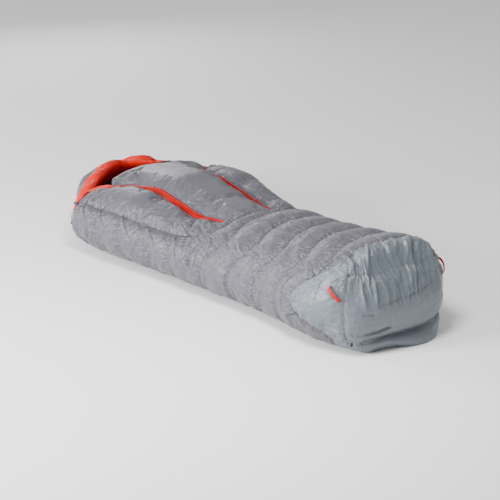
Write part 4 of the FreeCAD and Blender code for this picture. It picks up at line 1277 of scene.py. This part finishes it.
class BAG_OT_hood_lining(bpy.types.Operator):
    """Makes the hood's puffy lining with its rolled rim"""
    bl_idname = "bag.hood_lining"
    bl_label = "Hood lining"

    def execute(self, context):
        loft_in = context.scene.bag_sizes.hood_loft
        rows, count = 180, 30
        y = np.linspace(.605, 1.012, rows + 1)
        gap = np.min(np.abs(y[:, None] - np.array(HOOD_SEAMS)[None]), 1)
        swell = np.clip(gap / .035, 0, 1) ** .5
        reach = .004 + .052 * ease((y - .668) / .06)
        sunk = ease((ROLL_HIGH_FROM - y) / .05)
        sides = []
        for sign in (1, -1):
            line = []
            for shift, depth in ROLL:
                loft = np.where(depth < 0, (.15 + .85 * swell) * ease((y - .664) / .03), 1)
                if sign > 0 and depth < 0:
                    loft = loft * (1 - ROLL_SINK * sunk)
                a = angle_at(y, np.maximum(rim_x(y) + shift * reach, .0004))
                tuck = ROLL_TUCK * sunk * (sign > 0 and depth < 0)
                line.append(place(y, on_side(a, sign), depth * loft + tuck))
            for step in np.linspace(.06, 1, 60):
                a = angle_at(y, np.maximum(rim_x(y) + .34 * reach, .0004))
                a = a + (-90 - a) * step
                level = np.sin(step * np.pi * 3.0) ** 2
                depth = .040 + loft_in * swell * (.45 + .55 * level)
                line.append(place(y, on_side(a, sign), depth))
            sides.append(line)
        floor = [sides[0][-1] + (sides[1][-1] - sides[0][-1]) * k / count for k in range(1, count)]
        grid = np.stack(sides[0] + floor + sides[1][::-1], 1)
        pillow = PILLOW[0] + PILLOW[1] * swell
        pillow = pillow * ease((y - .585) / .06) * ease((1.0 - y) / .12)
        grid[..., 2] = np.maximum(grid[..., 2], FLOOR_DEPTH + pillow[:, None])
        ripple = .0045 * (ridges(grid[..., 1] / .018, grid[..., 2] / .10, 83) - .4)
        normal = grid_normals(grid)
        grid = grid - normal * (ripple * np.minimum(1, gap[:, None] / .02))[..., None]
        cols = grid.shape[1] - 1
        nodes, quads = whole_grid(rows, cols)
        piece = new_piece("hood_lining_puffed", grid.reshape(-1, 3)[nodes], quads)
        seam = np.repeat(gap[:, None], cols + 1, 1)
        point_value(piece, "seam", seam.reshape(-1)[nodes])
        point_value(piece, "along", np.repeat(np.arange(cols + 1)[None] * .005, rows + 1, 0))
        across = np.concatenate([np.zeros((rows + 1, 1)), np.cumsum(
            np.linalg.norm(np.diff(grid, axis=1), axis=-1), 1)], 1)
        lay_out(piece, np.stack([across, np.repeat(y[:, None], cols + 1, 1)], -1).reshape(-1, 2))
        out = grid_normals(grid).reshape(-1, 3)
        if turned_in(piece, out):
            flip(piece)
        thicken(piece, .0010)
        dress(piece, "hood_lining_red")
        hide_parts("hood_lining", "hood_rim_channel")
        return {"FINISHED"}


COLLAR_LINE = .582
TUBE_INSET = .045               # from the zip's coil to the draft tube's middle
TUBE_RADIUS = .016


class BAG_OT_collar(bpy.types.Operator):
    """Makes the draft collar round the shoulders and the draft tube behind the zip"""
    bl_idname = "bag.collar"
    bl_label = "Collar and draft tube"

    def execute(self, context):
        around = np.linspace(14, 340, 220)
        turn = np.linspace(0, 2 * np.pi, 19)[:-1]
        verts = []
        for number, a in enumerate(around):
            full = 1 - .16 * abs(math.sin(number * .19)) ** 4
            if a > 270:
                a = a - 360
            deep = .046 + .015 * np.cos(turn) * full
            spots = place(COLLAR_LINE + .022 * np.sin(turn) * full, np.full_like(turn, a), deep)
            verts.append(spots)
        piece = tube_mesh("draft_collar_roll", np.array(verts), "hood_lining_red")
        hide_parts("draft_collar")
        y = np.linspace(-.50, .52, 200)
        zip_x, zip_z = zip_place(y)
        rings = []
        for k in range(len(y)):
            full = TUBE_RADIUS * (1 - .14 * abs(math.sin(k * .31)) ** 4)
            rings.append(np.stack([zip_x[k] - TUBE_INSET + full * np.cos(turn),
                                   np.full_like(turn, y[k]), zip_z[k] + full * np.sin(turn)], -1))
        piece = tube_mesh("draft_tube_roll", np.array(rings), "lining_nylon")
        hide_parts("draft_tube")
        return {"FINISHED"}


def tube_mesh(name, rings, slot_name):
    """A closed roll through rings of places."""
    count, around = rings.shape[:2]
    faces = []
    for k in range(count - 1):
        for j in range(around):
            n = (j + 1) % around
            faces.append((k * around + j, k * around + n, (k + 1) * around + n,
                          (k + 1) * around + j))
    faces += [tuple(range(around))[::-1],
              tuple((count - 1) * around + j for j in range(around))]
    piece = new_piece(name, rings.reshape(-1, 3), faces)
    mesh = bmesh.new()
    mesh.from_mesh(piece.data)
    bmesh.ops.recalc_face_normals(mesh, faces=mesh.faces)
    mesh.to_mesh(piece.data)
    mesh.free()
    point_value(piece, "seam", np.full(count * around, .2))
    point_value(piece, "along", np.zeros(count * around))
    lay_out(piece, rings.reshape(-1, 3)[:, :2])
    dress(piece, slot_name)
    return piece


CORD_ROUTE = [(-.372, .668, .232), (-.393, .666, .223), (-.412, .662, .200), (-.431, .655, .180),
              (-.440, .649, .161), (-.444, .645, .140)]


class BAG_OT_cord(bpy.types.Operator):
    """Makes the free end of the hood's drawcord"""
    bl_idname = "bag.cord"
    bl_label = "Hood drawcord"

    def execute(self, context):
        curve = bpy.data.curves.new("hood_drawcord", "CURVE")
        curve.dimensions = "3D"
        spline = curve.splines.new("NURBS")
        spline.points.add(len(CORD_ROUTE) - 1)
        for point, spot in zip(spline.points, CORD_ROUTE):
            point.co = (*spot, 1)
        spline.order_u = 3
        spline.use_endpoint_u = True
        spline.resolution_u = 12
        curve.bevel_depth = .0014
        curve.bevel_resolution = 4
        piece = bpy.data.objects.new("hood_drawcord", curve)
        context.scene.collection.objects.link(piece)
        curve.materials.append(MATERIALS["cord_red"])
        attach(piece, BAG)
        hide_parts("hood_cord")
        return {"FINISHED"}


AIM = (-.0516, -.1292, .15)
VIEW_AZIMUTH, VIEW_ELEVATION, VIEW_DISTANCE, VIEW_LENS = -36.46, 19.58, 8.019, 139.2
LIGHTS = (("key", (-4.2, .2, 1.5), 1.3, 330),
          ("sheen", (-3.3, 4.4, 1.9), 1.4, 165),
          ("top", (-1.0, -1.2, 2.4), .8, 72),
          ("rim", (1.6, 4.2, 1.5), 1.2, 25))


class BAG_OT_stage(bpy.types.Operator):
    """Sets the pale floor, the soft lights and the camera"""
    bl_idname = "bag.stage"
    bl_label = "Stage"

    def execute(self, context):
        bpy.ops.object.select_all(action="DESELECT")
        bpy.ops.mesh.primitive_plane_add(size=60, location=(0, 0, 0))
        floor = context.object
        floor.name = "floor"
        paper = bpy.data.materials.new("floor_paper")
        paper.use_nodes = True
        shader = paper.node_tree.nodes["Principled BSDF"]
        shader.inputs["Base Color"].default_value = (.96, .96, .96, 1)
        shader.inputs["Roughness"].default_value = .9
        floor.data.materials.append(paper)
        world = bpy.data.worlds.new("studio")
        context.scene.world = world
        world.use_nodes = True
        world.node_tree.nodes["Background"].inputs["Color"].default_value = (1, 1, 1, 1)
        world.node_tree.nodes["Background"].inputs["Strength"].default_value = .60
        for name, spot, size, power in LIGHTS:
            self.light(context, name, spot, size, power)
        camera_data = bpy.data.cameras.new("camera")
        camera = bpy.data.objects.new("camera", camera_data)
        context.scene.collection.objects.link(camera)
        target = Vector(AIM)
        azimuth, elevation = math.radians(VIEW_AZIMUTH), math.radians(VIEW_ELEVATION)
        camera.location = target + VIEW_DISTANCE * Vector((
            math.sin(azimuth) * math.cos(elevation), -math.cos(azimuth) * math.cos(elevation),
            math.sin(elevation)))
        camera.rotation_euler = (target - camera.location).to_track_quat("-Z", "Y").to_euler()
        camera_data.sensor_width = 36
        camera_data.lens = VIEW_LENS
        context.scene.camera = camera
        return {"FINISHED"}

    def light(self, context, name, spot, size, power):
        """A square soft light aimed at the bag."""
        data = bpy.data.lights.new(name, "AREA")
        data.shape, data.size, data.energy = "SQUARE", size, power
        lamp = bpy.data.objects.new(name, data)
        context.scene.collection.objects.link(lamp)
        lamp.location = spot
        lamp.rotation_euler = (Vector((0, 0, .15)) - Vector(spot)).to_track_quat(
            "-Z", "Y").to_euler()


OPERATORS = (BAG_OT_materials, BAG_OT_shell, BAG_OT_footbox, BAG_OT_hood_back,
             BAG_OT_hood_lining, BAG_OT_gills, BAG_OT_patch, BAG_OT_loops, BAG_OT_collar,
             BAG_OT_cord, BAG_OT_stage)


class BAG_PT_panel(bpy.types.Panel):
    """Lists the bag's sizes, colours and pieces"""
    bl_idname = "BAG_PT_panel"
    bl_label = "Sleeping Bag"
    bl_space_type = "VIEW_3D"
    bl_region_type = "UI"
    bl_category = "Sleeping Bag"

    def draw(self, context):
        for settings in (context.scene.bag_colours, context.scene.bag_sizes):
            for key in settings.bl_rna.properties.keys():
                if key not in ("rna_type", "name"):
                    self.layout.prop(settings, key)
        for operator in OPERATORS:
            self.layout.operator(operator.bl_idname)


CLASSES = (BagColours, BagSizes) + OPERATORS + (BAG_PT_panel,)


def register():
    for item in CLASSES:
        bpy.utils.register_class(item)
    bpy.types.Scene.bag_colours = bpy.props.PointerProperty(type=BagColours)
    bpy.types.Scene.bag_sizes = bpy.props.PointerProperty(type=BagSizes)


def unregister():
    del bpy.types.Scene.bag_sizes
    del bpy.types.Scene.bag_colours
    for item in reversed(CLASSES):
        bpy.utils.unregister_class(item)


def main():
    """Builds every piece in order."""
    register()
    for operator in OPERATORS:
        group_name, name = operator.bl_idname.split(".")
        getattr(getattr(bpy.ops, group_name), name)()


if __name__ == "__main__":
    main()
